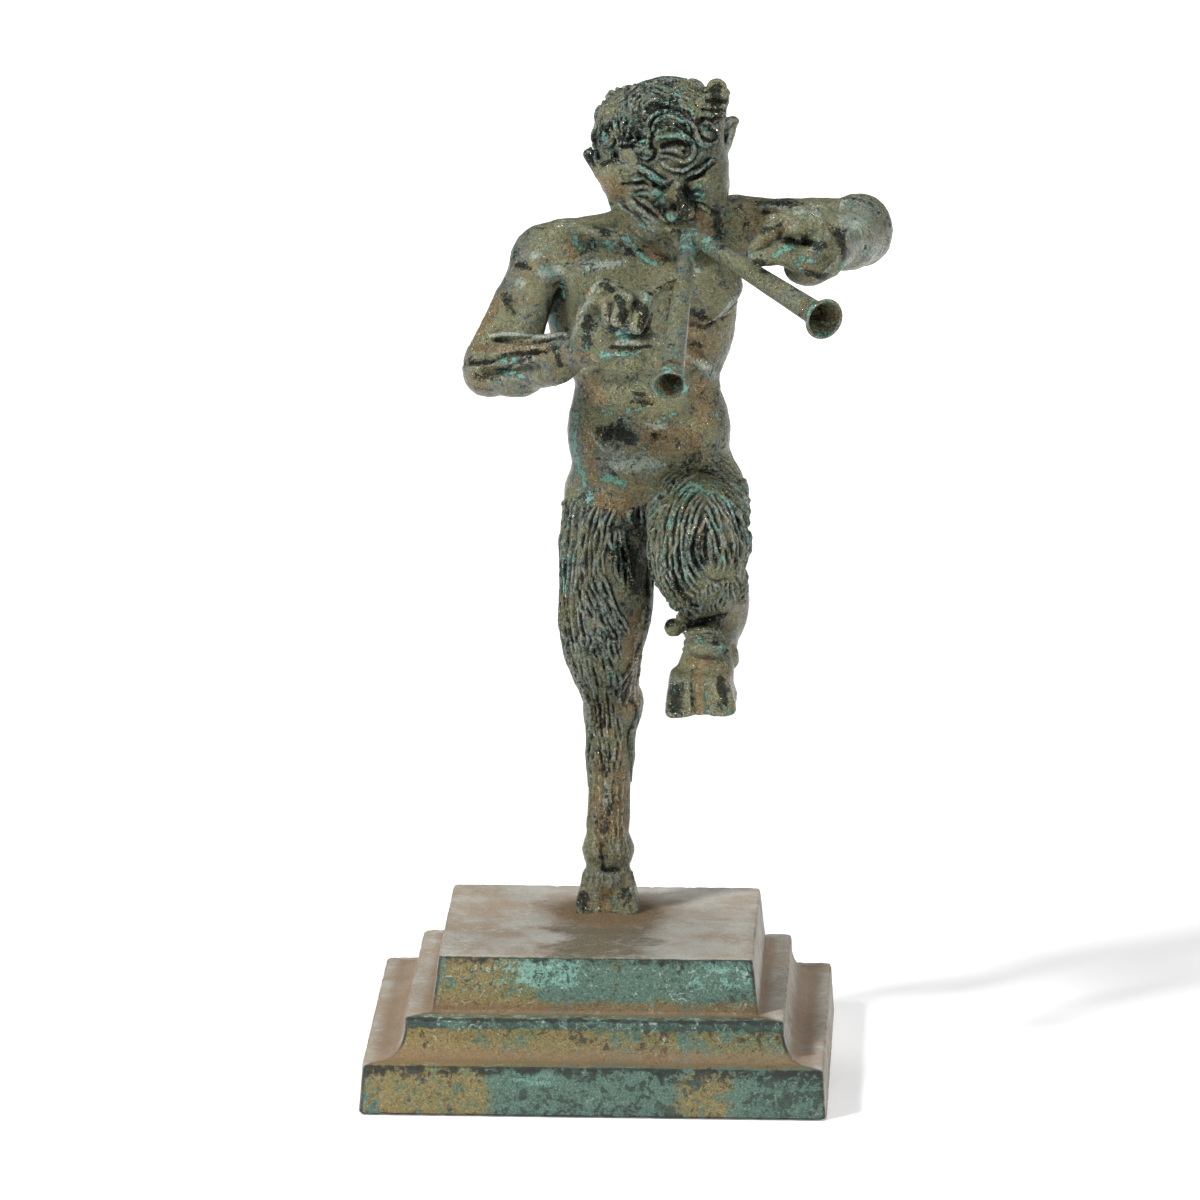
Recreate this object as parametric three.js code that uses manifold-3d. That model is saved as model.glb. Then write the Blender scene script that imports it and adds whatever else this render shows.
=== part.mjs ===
// A bronze faun dances on one hoof and plays the double pipes, on a stepped square plinth.
// Millimetres, +Z up. The origin is the centre of the plinth's underside and the faun faces -Y.
// "Right" and "left" are the faun's own: its right side is towards -X.
import * as THREE from "three";
import { mergeVertices } from "three/addons/utils/BufferGeometryUtils.js";
import Module from "manifold-3d";

const wasm = await Module();
wasm.setup();

// Driving dimensions of the plinth: half widths and heights of its three square tiers.
const PLINTH = {
  slabHalf: 45,
  slabTopHalf: 44.4,
  slabHeight: 9.6,
  coveFootHalf: 40.4,
  coveTopHalf: 36.6,
  filletHeight: 1.8,
  coveHeight: 7.6,
  blockFootHalf: 31.6,
  blockTopHalf: 30.4,
  blockHeight: 10.8,
  arris: 0.5,
};
const PLINTH_TOP = PLINTH.slabHeight + PLINTH.coveHeight + PLINTH.blockHeight;

// Driving dimensions of the figure.
const HOOF_GAP = 0.02; // between the sole and the plinth's top
const SOLE_Z = PLINTH_TOP + HOOF_GAP;
const CLAY_CELL = 0.75; // spacing of the grid that the figure is modelled on
const FIGURE_TRIANGLES = 9000;
const PIPE_SIDES = 14;
const PIPE_MOUTH = [16.7, -11.5, 166.6];
const RIGHT_BELL = [14.6, -59, 145.4];
const LEFT_BELL = [43.6, -56, 158];

// The head's own frame: local -Y is the way the face looks, in degrees from the body's frame.
const HEAD_FRAME = { at: [10.8, -3, 181.2], yaw: 15, nod: 22, tilt: -16 };
const WORLD_FRAME = { at: [0, 0, 0], yaw: 0, nod: 0, tilt: 0 };

// A limb is a round bar whose radius changes evenly; a ball is an ellipsoid.
const limb = (from, to, startRadius, endRadius, blend) => ({ from, to, startRadius, endRadius, blend });
const ball = (at, size, blend) => ({ at, size, blend });
// A block has flat sides that lean: its half widths and its front and back change from low to high.
const block = (at, low, high, height, blend) => ({ at, low, high, height, blend });
const cutLimb = (from, to, startRadius, endRadius, blend) => ({
  ...limb(from, to, startRadius, endRadius, blend),
  cuts: true,
});
const cutBall = (at, size, blend) => ({ ...ball(at, size, blend), cuts: true });
const mirrored = (form) => {
  const flip = (p) => p && [-p[0], p[1], p[2]];
  return { ...form, at: flip(form.at), from: flip(form.from), to: flip(form.to) };
};

const TORSO = {
  pelvis: ball([9, 8, 114.5], [14.4, 10.4, 10.5], 4),
  belly: ball([8.6, 5, 122], [14.6, 9.8, 10], 5),
  waist: ball([8.3, 5.6, 131], [14.2, 9.4, 11], 5),
  ribs: ball([8, 4.8, 145], [15.9, 10.8, 14], 5),
  upperChest: ball([8.6, 5, 156], [16.6, 9.4, 9], 5),
  shoulderGirdle: limb([-6, 6, 160.4], [24, 6, 164.6], 5.8, 5.6, 5),
  rightLat: ball([-4.6, 7, 149], [5.2, 8, 12], 4),
  leftLat: ball([20.4, 7, 150], [4.6, 8, 12], 4),
  rightPec: ball([0.2, -2.4, 154.2], [8.8, 5, 6.6], 2.2),
  leftPec: ball([18, -2.2, 155], [8.8, 5, 6.6], 2.2),
  rightCollarbone: limb([6.6, -1.8, 163.6], [-8, 0.5, 165.4], 1.3, 1.5, 2),
  leftCollarbone: limb([11.8, -1.8, 163.8], [24, 0.5, 168.6], 1.3, 1.5, 2),
  rightOblique: ball([-2, 4, 125], [4.2, 5.4, 6], 4),
  leftOblique: ball([19.6, 4, 125.6], [4.2, 5.4, 6], 4),
  rightShoulderBlade: ball([-0.4, 11.6, 156], [7, 4, 8], 3),
  leftShoulderBlade: ball([17.8, 11.6, 158], [7, 4, 8], 3),
  rightButtock: ball([1.4, 13.6, 109], [9, 7.4, 9.4], 3),
  leftButtock: ball([17.4, 12.6, 110.4], [9, 7.4, 9.4], 3),
  loin: ball([8.8, 11, 120], [11, 6, 8], 4),
  spineGroove: cutLimb([8.8, 16.6, 163], [9, 17.6, 119], 1.4, 1.6, 3),
  breastboneGroove: cutLimb([9.2, -7.9, 160], [8.8, -8.2, 146], 1, 0.8, 2.4),
  armpitHollow: cutBall([-9.2, -5.2, 150], [2.2, 3, 5], 2.4),
};

// The belly muscles stand in three pairs below the ribs.
const BELLY_ROWS = {
  middleX: 8.5,
  spread: 4.4,
  heights: [139.6, 131.6, 123.6],
  depths: [-3.6, -2, -3],
  size: [4.2, 2.6, 3.4],
  blend: 1.6,
};

const NECK = {
  column: limb([9.4, 6, 162], [10.8, 1.5, 174], 7, 6.4, 4),
  rightCord: limb([6.8, -0.6, 164.2], [4.4, -1.6, 173], 1.7, 2.2, 2.4),
  leftCord: limb([12.2, -0.8, 164.4], [19.4, -0.6, 174], 1.7, 2.2, 2.4),
};

// In the head's frame. What stands on one side only, seen from the front, is mirrored below.
const SKULL = {
  cranium: ball([0, 1.6, 1.2], [10.3, 11.2, 9.2], 3),
  face: ball([0, -3.4, -5], [9.4, 8, 10.6], 4),
  noseBridge: limb([0, -11, -1.4], [0, -13.8, -6], 1.2, 1.8, 1.4),
  noseTip: ball([0, -14, -6.6], [2, 1.8, 1.6], 0.8),
  lips: ball([0, -11.4, -11.4], [3.2, 2.4, 2.6], 1.4),
  chin: ball([0, -8.4, -15.4], [3.8, 3.2, 2.6], 2.2),
  mouthHollow: cutBall([0.2, -14.2, -11.7], [1.9, 1.8, 1.5], 0.8),
};
const SKULL_SIDE = {
  brow: limb([1.2, -11.3, -0.6], [4.6, -11.2, 1.2], 1.3, 1.4, 1),
  browEnd: limb([4.6, -11.2, 1.2], [8.2, -8.4, 2.6], 1.4, 1, 1),
  socket: cutBall([4.5, -12.1, -2.3], [2.7, 2.2, 1.5], 1.4),
  eyeball: ball([4.3, -9.6, -2.2], [2.1, 1.8, 1.4], 0.5),
  cheekbone: ball([6.2, -8, -4.8], [3.1, 2.7, 2.2], 1.8),
  cheek: ball([5.2, -8.6, -9.6], [4.3, 3.6, 3.8], 1.6),
  jaw: limb([8, -1.6, -9], [3, -6.6, -14.6], 3.6, 3.4, 3),
  nostril: ball([1.9, -12.6, -7], [1.3, 1.5, 1.2], 0.7),
  moustache: limb([1, -12.6, -8.4], [5.4, -10.8, -11.6], 0.9, 0.8, 0.7),
};

const HORNS_AND_EARS = {
  leftHornFoot: limb([20.2, -7.6, 183.4], [21.8, -7.6, 188.6], 2.3, 2.4, 0.6),
  leftHornTip: limb([21.8, -7.6, 188.6], [21.5, -6.2, 193.2], 2.4, 1.7, 0.4),
  rightHornFoot: limb([1.8, -6.4, 184.4], [1.1, -5, 188.2], 2.3, 2.2, 0.6),
  rightHornTip: limb([1.1, -5, 188.2], [3.4, -1.4, 190.6], 2.2, 1.7, 0.4),
  leftEar: limb([22.2, -2.6, 182.6], [24.9, -1.6, 186.4], 2, 0.7, 1),
  rightEar: limb([-0.4, -2.6, 176.2], [-3, -0.6, 179], 2.1, 0.9, 1),
  rightTemple: ball([3.2, -2.6, 177.4], [4.2, 6, 6.6], 2),
  rightSideCurls: ball([1.6, -4.4, 182.8], [2.8, 4, 3.2], 1),
  leftEarHollow: cutLimb([23.2, -4.9, 183.2], [24.8, -3.2, 185.6], 0.9, 0.3, 0.6),
  rightEarHollow: cutLimb([-1.4, -4.8, 177], [-2.8, -2.8, 178.4], 0.9, 0.3, 0.6),
};

const RIGHT_ARM = {
  shoulder: ball([-11, 3.6, 158.6], [6.9, 7, 7], 3),
  upperArm: limb([-12.6, 2.6, 157], [-21.6, -6.6, 141], 5.4, 4.7, 2.2),
  biceps: limb([-14.6, -2.6, 153], [-19, -6.6, 145.6], 4, 3.6, 2),
  elbow: ball([-22.4, -7, 138.4], [4.5, 4.6, 4.6], 1.4),
  forearm: limb([-21, -9, 138.8], [-8.6, -21.4, 143.2], 5, 4.6, 2),
  foreMuscle: ball([-16, -13, 139.4], [5.6, 5, 4.8], 2),
  foreWrist: limb([-10, -20, 143.4], [-1.6, -28, 147.2], 4.4, 3, 2.2),
};
const RIGHT_HAND = {
  wrist: limb([-2.2, -27.6, 147], [0.8, -32, 150.6], 3, 3.3, 1.6),
  palm: ball([1.4, -33, 152.4], [2.5, 4, 4.8], 1.4),
  littleBase: limb([0.8, -33.6, 154.4], [1.4, -36.8, 160], 1.9, 1.8, 0.6),
  littleTip: limb([1.4, -36.8, 160], [0.4, -41.4, 157.6], 1.8, 1.5, 0.4),
  ringBase: limb([2.6, -34.2, 154.4], [4.9, -37.6, 158.4], 1.7, 1.6, 0.5),
  ringTip: limb([4.9, -37.6, 158.4], [4.3, -42, 154.4], 1.6, 1.3, 0.4),
  middleBase: limb([3.6, -33.6, 153.4], [8.6, -37, 157.6], 1.7, 1.6, 0.5),
  middleTip: limb([8.6, -37, 157.6], [7.6, -41.8, 153], 1.6, 1.3, 0.4),
  indexBase: limb([3.2, -32.4, 155], [10.4, -31.8, 159.4], 1.6, 1.5, 0.5),
  indexTip: limb([10.4, -31.8, 159.4], [15.2, -31.6, 160.8], 1.5, 1.4, 0.4),
  thumbBase: limb([1.8, -32.4, 149], [7, -36.6, 148.4], 2.1, 1.8, 0.8),
  thumbTip: limb([7, -36.6, 148.4], [13.2, -39.4, 151.6], 1.7, 1.4, 0.4),
};

const LEFT_ARM = {
  shoulder: ball([25.6, 4.4, 163.8], [6.6, 6.6, 6.6], 3),
  upperArm: limb([27, 4.2, 165], [47, 2, 166], 5.7, 5.3, 2.2),
  biceps: limb([33, 0.6, 165.4], [41, 0, 166], 4, 4, 2),
  elbow: ball([49.4, 0.6, 165.6], [6, 6, 6.9], 1.8),
  forearm: limb([49.2, -2, 165], [47, -15, 165.6], 6, 5, 2),
  foreWrist: limb([47, -14, 165.6], [45.4, -24, 166.4], 4.9, 3.4, 2.2),
};
const LEFT_HAND = {
  wrist: limb([45.6, -23.4, 166.4], [44, -29, 167], 3.5, 4.4, 1.6),
  palm: ball([42.8, -32.6, 167.2], [4.7, 4.4, 5.6], 1.4),
  heel: ball([41.8, -34, 164.4], [4.2, 3.8, 3.6], 1.4),
  knuckles: limb([44.6, -31, 171], [38.6, -34, 172.8], 3, 2.4, 1.4),
  indexBase: limb([41.6, -33, 172.8], [36.2, -34.2, 171.4], 2.2, 1.9, 0.8),
  indexTip: limb([36.2, -34.2, 171.4], [29.8, -34.4, 165.4], 1.9, 1.6, 0.5),
  middleBase: limb([43.4, -35.4, 171.4], [38, -39, 170.6], 2.2, 2, 0.8),
  middleTip: limb([38, -39, 170.6], [33.6, -39.6, 166.4], 2, 1.6, 0.5),
  ringBase: limb([44, -36.4, 168.4], [39.8, -40.4, 167.4], 2.2, 2, 0.8),
  ringTip: limb([39.8, -40.4, 167.4], [35.6, -41.2, 163.8], 2, 1.5, 0.5),
  thumbBase: limb([41.4, -36.4, 163.4], [36, -38, 163.4], 2.7, 2.4, 1),
  thumbTip: limb([36, -38, 163.4], [31, -36.4, 164], 2.2, 1.6, 0.5),
};

const STANDING_LEG = {
  thigh: limb([0.8, 8, 111], [0.9, 2.4, 92], 8.6, 8.2, 3),
  knee: ball([0.3, 0.6, 86.6], [7.6, 7.6, 8], 3),
  shank: limb([0.1, 2.6, 81], [1.4, 11, 71], 6.2, 4.7, 3),
  hock: ball([1.9, 12.6, 68.6], [4.9, 5.8, 5.4], 2),
  hockPoint: ball([1.9, 17, 71.4], [2.4, 2.6, 3.2], 2),
  cannon: limb([1.3, 12.4, 66.4], [0.9, 9.9, 43], 4.2, 4.1, 2),
  shin: limb([1, 8.6, 64], [0.9, 6.4, 44], 1.2, 1, 1.4),
  fetlock: ball([0.9, 9.8, 40.2], [5.1, 5.2, 4.2], 1.4),
  rightDewclaw: ball([-1.6, 15, 39.6], [1.5, 1.6, 1.9], 0.6),
  leftDewclaw: ball([3.4, 15, 39.6], [1.5, 1.6, 1.9], 0.6),
  pastern: limb([0.9, 9.6, 37.4], [0.9, 9.2, 34], 4.2, 4.8, 1),
};
const RAISED_LEG = {
  hip: ball([16.8, 7, 112], [9.8, 9.6, 9.4], 4),
  thigh: limb([17.4, 5.6, 112], [18.7, -13.6, 107.4], 9.2, 8.5, 3),
  knee: ball([18.8, -16.6, 105.2], [8.5, 7, 8.8], 3),
  shank: limb([19.3, -14.8, 101], [21.6, -6, 94], 7.4, 6.9, 3),
  hock: ball([22.2, -3.6, 91.6], [6, 6, 5.4], 2),
  heel: ball([25.2, 0.4, 91.4], [2.9, 3.4, 4], 1.6),
  cannon: limb([22.2, -5, 88.6], [20.8, -17.4, 84.6], 5.1, 4.8, 2),
  fetlock: ball([20.6, -19.6, 82.6], [5.4, 5.2, 4.2], 1.4),
  rightDewclaw: ball([18, -15, 79.8], [1.5, 1.6, 1.9], 0.6),
  leftDewclaw: ball([23.2, -15, 79.2], [1.5, 1.6, 1.9], 0.6),
  knobStalk: limb([14.6, -10, 89.4], [18, -9, 90.6], 0.9, 1.1, 0.5),
  knob: ball([14.1, -10, 89.1], [1.5, 1.5, 1.6], 0.2),
};

// A cloven hoof is two toes that widen to a flat sole, with a web between them that lies back.
// Its frame stands on the middle of the sole.
const HOOF = {
  toe: { outTop: 5.2, outSole: 6.5, frontTop: -3.6, frontSole: -6.2, backTop: 4.4, backSole: 5 },
  cleftHalf: 1.05,
  webDepth: 1.5,
};
const STANDING_HOOF = { at: [0.9, 9, SOLE_Z], yaw: 0, nod: 0, tilt: 0, height: 6.4 };
const RAISED_HOOF = { at: [19.9, -22.4, 76.6], yaw: 0, nod: 12, tilt: -3, height: 6.8 };

const TAIL = {
  root: limb([9, 17.4, 118], [9.2, 21.2, 121.4], 2.6, 2.4, 1.6),
  tip: limb([9.2, 21.2, 121.4], [9.6, 22.6, 117], 2.4, 1, 0.8),
};

// Turns a form's points out of its frame into the body's.
function posed(form, frame) {
  const radians = THREE.MathUtils.degToRad;
  const turn = new THREE.Matrix4()
    .makeRotationZ(radians(frame.yaw))
    .multiply(new THREE.Matrix4().makeRotationX(radians(frame.nod)))
    .multiply(new THREE.Matrix4().makeRotationY(radians(frame.tilt)));
  const place = (p) => p && new THREE.Vector3(...p).applyMatrix4(turn).add(new THREE.Vector3(...frame.at)).toArray();
  return { ...form, at: place(form.at), from: place(form.from), to: place(form.to), turn };
}

const FAR = 1e3;
const smoothMin = (a, b, blend) => {
  const overlap = Math.max(blend - Math.abs(a - b), 0) / blend;
  return Math.min(a, b) - (overlap * overlap * blend) / 4;
};

// Clay is a grid of distances to the surface, negative inside, that forms are pressed onto or cut from.
class Clay {
  constructor(low, high, cell) {
    this.low = low;
    this.cell = cell;
    this.count = low.map((v, i) => Math.ceil((high[i] - v) / cell) + 1);
    this.values = new Float32Array(this.count[0] * this.count[1] * this.count[2]).fill(FAR);
  }

  index(i, j, k) {
    return (k * this.count[1] + j) * this.count[0] + i;
  }

  visit(low, high, change) {
    const first = low.map((v, i) => Math.max(0, Math.floor((v - this.low[i]) / this.cell)));
    const last = high.map((v, i) => Math.min(this.count[i] - 1, Math.ceil((v - this.low[i]) / this.cell)));
    for (let k = first[2]; k <= last[2]; k++)
      for (let j = first[1]; j <= last[1]; j++)
        for (let i = first[0]; i <= last[0]; i++) {
          const x = this.low[0] + i * this.cell;
          const y = this.low[1] + j * this.cell;
          const z = this.low[2] + k * this.cell;
          const at = this.index(i, j, k);
          this.values[at] = change(this.values[at], x, y, z);
        }
  }

  press(form) {
    const { blend, cuts } = form;
    const reach = blend + 3 * this.cell;
    const { distance, radius } = measured(form);
    const ends = form.at ? [form.at] : [form.from, form.to];
    const low = [0, 1, 2].map((i) => Math.min(...ends.map((p) => p[i])) - radius - reach);
    const high = [0, 1, 2].map((i) => Math.max(...ends.map((p) => p[i])) + radius + reach);
    this.visit(low, high, (old, x, y, z) =>
      cuts ? -smoothMin(-old, distance(x, y, z), blend) : smoothMin(old, distance(x, y, z), blend),
    );
  }

  model(forms, frame = WORLD_FRAME) {
    for (const form of Object.values(forms)) this.press(posed(form, frame));
  }

  sample(p) {
    const g = [p.x, p.y, p.z].map((v, i) =>
      THREE.MathUtils.clamp((v - this.low[i]) / this.cell, 0, this.count[i] - 1.001),
    );
    const [i, j, k] = g.map(Math.floor);
    const [u, v, w] = [g[0] - i, g[1] - j, g[2] - k];
    const mix = THREE.MathUtils.lerp;
    const row = (jj, kk) => mix(this.values[this.index(i, jj, kk)], this.values[this.index(i + 1, jj, kk)], u);
    return mix(mix(row(j, k), row(j + 1, k), v), mix(row(j, k + 1), row(j + 1, k + 1), v), w);
  }

  slope(p) {
    const step = this.cell;
    const side = (axis) => {
      const d = new THREE.Vector3().setComponent(axis, step);
      return this.sample(p.clone().add(d)) - this.sample(p.clone().sub(d));
    };
    return new THREE.Vector3(side(0), side(1), side(2)).normalize();
  }

  // The point of the surface next to p.
  surface(p) {
    const q = p.clone();
    for (let i = 0; i < 4; i++) q.addScaledVector(this.slope(q), -this.sample(q));
    return q;
  }

  // The first surface point on the way out from an inner point.
  outward(inner, direction) {
    const q = inner.clone();
    while (this.sample(q) < 0) q.addScaledVector(direction, this.cell / 2);
    return this.surface(q);
  }
}

// How far a point lies from a form, and the form's reach from its own points.
function measured(form) {
  if (form.size) return { distance: ballDistance(form), radius: Math.max(...form.size) };
  if (form.height) return { distance: blockDistance(form), radius: form.height + form.low.reach };
  return { distance: limbDistance(form), radius: Math.max(form.startRadius, form.endRadius) };
}

// The largest of the distances to a block's leaning sides, top and foot.
function blockDistance({ at, low, high, height, turn }) {
  const back = turn.clone().transpose().elements;
  const mix = THREE.MathUtils.lerp;
  return (x, y, z) => {
    const [dx, dy, dz] = [x - at[0], y - at[1], z - at[2]];
    const px = back[0] * dx + back[4] * dy + back[8] * dz;
    const py = back[1] * dx + back[5] * dy + back[9] * dz;
    const pz = back[2] * dx + back[6] * dy + back[10] * dz;
    const t = THREE.MathUtils.clamp(pz / height, 0, 1);
    return Math.max(
      mix(low.left, high.left, t) - px,
      px - mix(low.right, high.right, t),
      mix(low.front, high.front, t) - py,
      py - mix(low.back, high.back, t),
      -pz,
      pz - height,
    );
  };
}

function ballDistance({ at, size, turn }) {
  const back = turn.clone().transpose().elements;
  const [rx, ry, rz] = size;
  return (x, y, z) => {
    const [dx, dy, dz] = [x - at[0], y - at[1], z - at[2]];
    const px = (back[0] * dx + back[4] * dy + back[8] * dz) / rx;
    const py = (back[1] * dx + back[5] * dy + back[9] * dz) / ry;
    const pz = (back[2] * dx + back[6] * dy + back[10] * dz) / rz;
    const near = Math.hypot(px, py, pz);
    const rate = Math.hypot(px / rx, py / ry, pz / rz);
    return rate > 1e-9 ? (near * (near - 1)) / rate : -Math.min(rx, ry, rz);
  };
}

function limbDistance({ from, to, startRadius, endRadius }) {
  const axis = to.map((v, i) => v - from[i]);
  const lengthSquared = axis.reduce((sum, v) => sum + v * v, 0);
  return (x, y, z) => {
    const [dx, dy, dz] = [x - from[0], y - from[1], z - from[2]];
    const along = (dx * axis[0] + dy * axis[1] + dz * axis[2]) / lengthSquared;
    const t = THREE.MathUtils.clamp(along, 0, 1);
    return (
      Math.hypot(dx - t * axis[0], dy - t * axis[1], dz - t * axis[2]) -
      (startRadius + (endRadius - startRadius) * t)
    );
  };
}

// A lock of hair or fur is combed over the surface from a start point. It is thin at its root,
// full in the middle and pointed at its end; curl turns it about the surface, in degrees a step.
function combLock(clay, start, flow, { length, radius, curl = 0, steps = 5 }) {
  const points = [start.clone()];
  const heading = flow(start).clone();
  const stride = length / steps;
  for (let i = 0; i < steps; i++) {
    const here = points[points.length - 1];
    const out = clay.slope(here);
    if (!curl) heading.copy(flow(here));
    heading.addScaledVector(out, -heading.dot(out)).normalize();
    heading.applyAxisAngle(out, THREE.MathUtils.degToRad(curl));
    const next = clay.surface(here.clone().addScaledVector(heading, stride));
    if (next.distanceTo(here) > 1.6 * stride) break;
    points.push(next);
  }
  const joints = points.length - 1;
  const thickness = (t) => radius * (0.25 + 0.75 * Math.sin(Math.PI * Math.pow(0.12 + 0.84 * t, 0.8)));
  return points.slice(1).map((to, i) => {
    const rise = (p, t) => p.clone().addScaledVector(clay.slope(p), thickness(t) * 0.35).toArray();
    const [t0, t1] = [i / joints, (i + 1) / joints];
    return posed(
      limb(rise(points[i], t0), rise(to, t1), thickness(t0), thickness(t1), radius * 0.4),
      WORLD_FRAME,
    );
  });
}

// The fur of a leg: rings of locks round a bone, each ring set half a lock round from the last.
const FUR = {
  standing: {
    bone: [[0.6, 7, 108], [0.6, 3, 90], [0.3, 3, 83], [1.6, 10.6, 72]],
    rings: [0, 0.2, 0.4, 0.6, 0.8],
    around: 10, length: 14, radius: 1.25, wave: 0.22,
  },
  raised: {
    bone: [[17.6, 3, 111], [18.8, -11, 107.6], [19.1, -14, 101.5], [21.4, -7, 95]],
    rings: [0.04, 0.28, 0.52, 0.76],
    around: 10, length: 10, radius: 1.2, wave: 0.22,
  },
};

function combFur(clay, { bone, rings, around, length, radius, wave }) {
  const path = new THREE.CatmullRomCurve3(bone.map((p) => new THREE.Vector3(...p)));
  const locks = [];
  rings.forEach((share, ring) => {
    const centre = path.getPointAt(share);
    const down = path.getTangentAt(share);
    const side = new THREE.Vector3(1, 0, 0).addScaledVector(down, -down.x).normalize();
    for (let i = 0; i < around; i++) {
      const turn = ((i + (ring % 2) / 2) / around) * 2 * Math.PI;
      const out = side.clone().applyAxisAngle(down, turn);
      const start = clay.outward(centre, out);
      const flow = (p) => {
        const nearest = path.getTangentAt(share);
        const sway = Math.sin(p.z * 0.6 + i * 2.3) * wave;
        return nearest.clone().addScaledVector(nearest.clone().cross(clay.slope(p)), sway);
      };
      locks.push(...combLock(clay, start, flow, { length, radius }));
    }
  });
  locks.forEach((form) => clay.press(form));
}

// On the raised knee the fur parts at the top and runs down both sides of a whorl.
const KNEE_WHORL = {
  at: [18.9, -22, 104.6],
  rings: [2.6, 5, 7.3],
  starts: [78, 40, 0, -40],
  tallness: 1.15,
  length: 6.5,
  radius: 1.1,
};

function combWhorl(clay, { at, rings, starts, tallness, length, radius }) {
  const centre = new THREE.Vector3(...at);
  const locks = [];
  for (const ring of rings)
    for (const angle of starts)
      for (const side of [-1, 1]) {
        const turn = THREE.MathUtils.degToRad(angle);
        const reach = new THREE.Vector3(side * Math.cos(turn), 0, tallness * Math.sin(turn));
        const start = clay.surface(centre.clone().addScaledVector(reach, ring));
        const flow = (p) => new THREE.Vector3(side * (p.z - centre.z), 0, -side * (p.x - centre.x));
        locks.push(...combLock(clay, start, flow, { length, radius }));
      }
  locks.forEach((form) => clay.press(form));
}

// The hair is combed from the crown towards the brow and the nape, in rows round the crown.
const HAIR = {
  crown: [0, 4, 4], rows: [18, 40, 62, 84], around: [6, 10, 13, 14], length: 6.5, radius: 1.45,
};
const FOREHEAD_CURLS = [
  { across: -7.6, up: 3.4, size: 4.4, curl: 48 },
  { across: -3.2, up: 4.4, size: 5.4, curl: -46 },
  { across: 2.2, up: 5.4, size: 6.4, curl: 40 },
  { across: 6.6, up: 4.2, size: 5.4, curl: -44 },
];

function combHair(clay) {
  const { turn } = posed(ball([0, 0, 0], [1, 1, 1], 1), HEAD_FRAME);
  const place = (p) => new THREE.Vector3(...p).applyMatrix4(turn).add(new THREE.Vector3(...HEAD_FRAME.at));
  const way = (x, y, z) => new THREE.Vector3(x, y, z).applyMatrix4(turn).normalize();
  const inner = place(HAIR.crown);
  const locks = [];
  HAIR.rows.forEach((fall, row) => {
    for (let i = 0; i < HAIR.around[row]; i++) {
      const round = ((i + (row % 2) / 2) / HAIR.around[row]) * 2 * Math.PI;
      const polar = THREE.MathUtils.degToRad(fall);
      const out = way(Math.sin(round) * Math.sin(polar), -Math.cos(round) * Math.sin(polar), Math.cos(polar));
      const overFace = Math.cos(round) > 0.25 && fall > 70;
      if (overFace) continue;
      const start = clay.outward(inner, out);
      const flow = () => start.clone().sub(place([0, 6, 13])).normalize();
      const curl = (i % 2 ? 1 : -1) * 14;
      locks.push(...combLock(clay, start, flow, { length: HAIR.length, radius: HAIR.radius, curl }));
    }
  });
  for (const { across, up, size, curl } of FOREHEAD_CURLS) {
    const start = clay.outward(inner, way(across, -12, up));
    const flow = () => way(Math.sign(curl), 0, 0.4);
    locks.push(...combLock(clay, start, flow, { length: size * 2, radius: 1.1, curl, steps: 8 }));
  }
  locks.forEach((form) => clay.press(form));
}

// Turns the grid into triangles: each cell is six tetrahedra, so the surface is always closed.
const TETRAHEDRA = [[0, 5, 1, 6], [0, 1, 2, 6], [0, 2, 3, 6], [0, 3, 7, 6], [0, 7, 4, 6], [0, 4, 5, 6]];
const CORNERS = [[0, 0, 0], [1, 0, 0], [1, 1, 0], [0, 1, 0], [0, 0, 1], [1, 0, 1], [1, 1, 1], [0, 1, 1]];
const NEAREST_CUT = 0.06; // an edge is cut no nearer to its end than this share

function skin(clay) {
  const [nx, ny, nz] = clay.count;
  const points = [];
  const faces = [];
  const made = new Map();
  const grid = (n) => [n % nx, Math.floor(n / nx) % ny, Math.floor(n / (nx * ny))];
  const crossing = (a, b) => {
    const [from, to] = a < b ? [a, b] : [b, a];
    const key = from * 8e6 + to;
    if (!made.has(key)) {
      const share = clay.values[from] / (clay.values[from] - clay.values[to]);
      const t = THREE.MathUtils.clamp(share, NEAREST_CUT, 1 - NEAREST_CUT);
      const [p, q] = [grid(from), grid(to)];
      points.push(p.map((v, i) => clay.low[i] + clay.cell * (v + (q[i] - v) * t)));
      made.set(key, points.length - 1);
    }
    return made.get(key);
  };
  const add = (a, b, c, flipped) => faces.push(flipped ? [a, c, b] : [a, b, c]);
  for (let k = 0; k < nz - 1; k++)
    for (let j = 0; j < ny - 1; j++)
      for (let i = 0; i < nx - 1; i++) {
        const ids = CORNERS.map(([a, b, c]) => clay.index(i + a, j + b, k + c));
        const inside = ids.map((n) => clay.values[n] < 0);
        if (inside.every(Boolean) || !inside.some(Boolean)) continue;
        for (const tetra of TETRAHEDRA) {
          const ins = tetra.filter((c) => inside[c]);
          const outs = tetra.filter((c) => !inside[c]);
          if (!ins.length || !outs.length) continue;
          const cut = (a, b) => crossing(ids[a], ids[b]);
          // An even rearrangement of the tetrahedron's corners keeps its handedness.
          const order = [...ins, ...outs].map((c) => tetra.indexOf(c));
          let odd = false;
          for (let a = 0; a < 4; a++) for (let b = a + 1; b < 4; b++) if (order[a] > order[b]) odd = !odd;
          if (ins.length === 1) add(cut(ins[0], outs[0]), cut(ins[0], outs[1]), cut(ins[0], outs[2]), odd);
          if (ins.length === 3) add(cut(ins[0], outs[0]), cut(ins[1], outs[0]), cut(ins[2], outs[0]), odd);
          if (ins.length === 2) {
            const [a, b] = ins;
            const [c, d] = outs;
            add(cut(a, c), cut(a, d), cut(b, d), odd);
            add(cut(a, c), cut(b, d), cut(b, c), odd);
          }
        }
      }
  return { points, faces };
}

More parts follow.
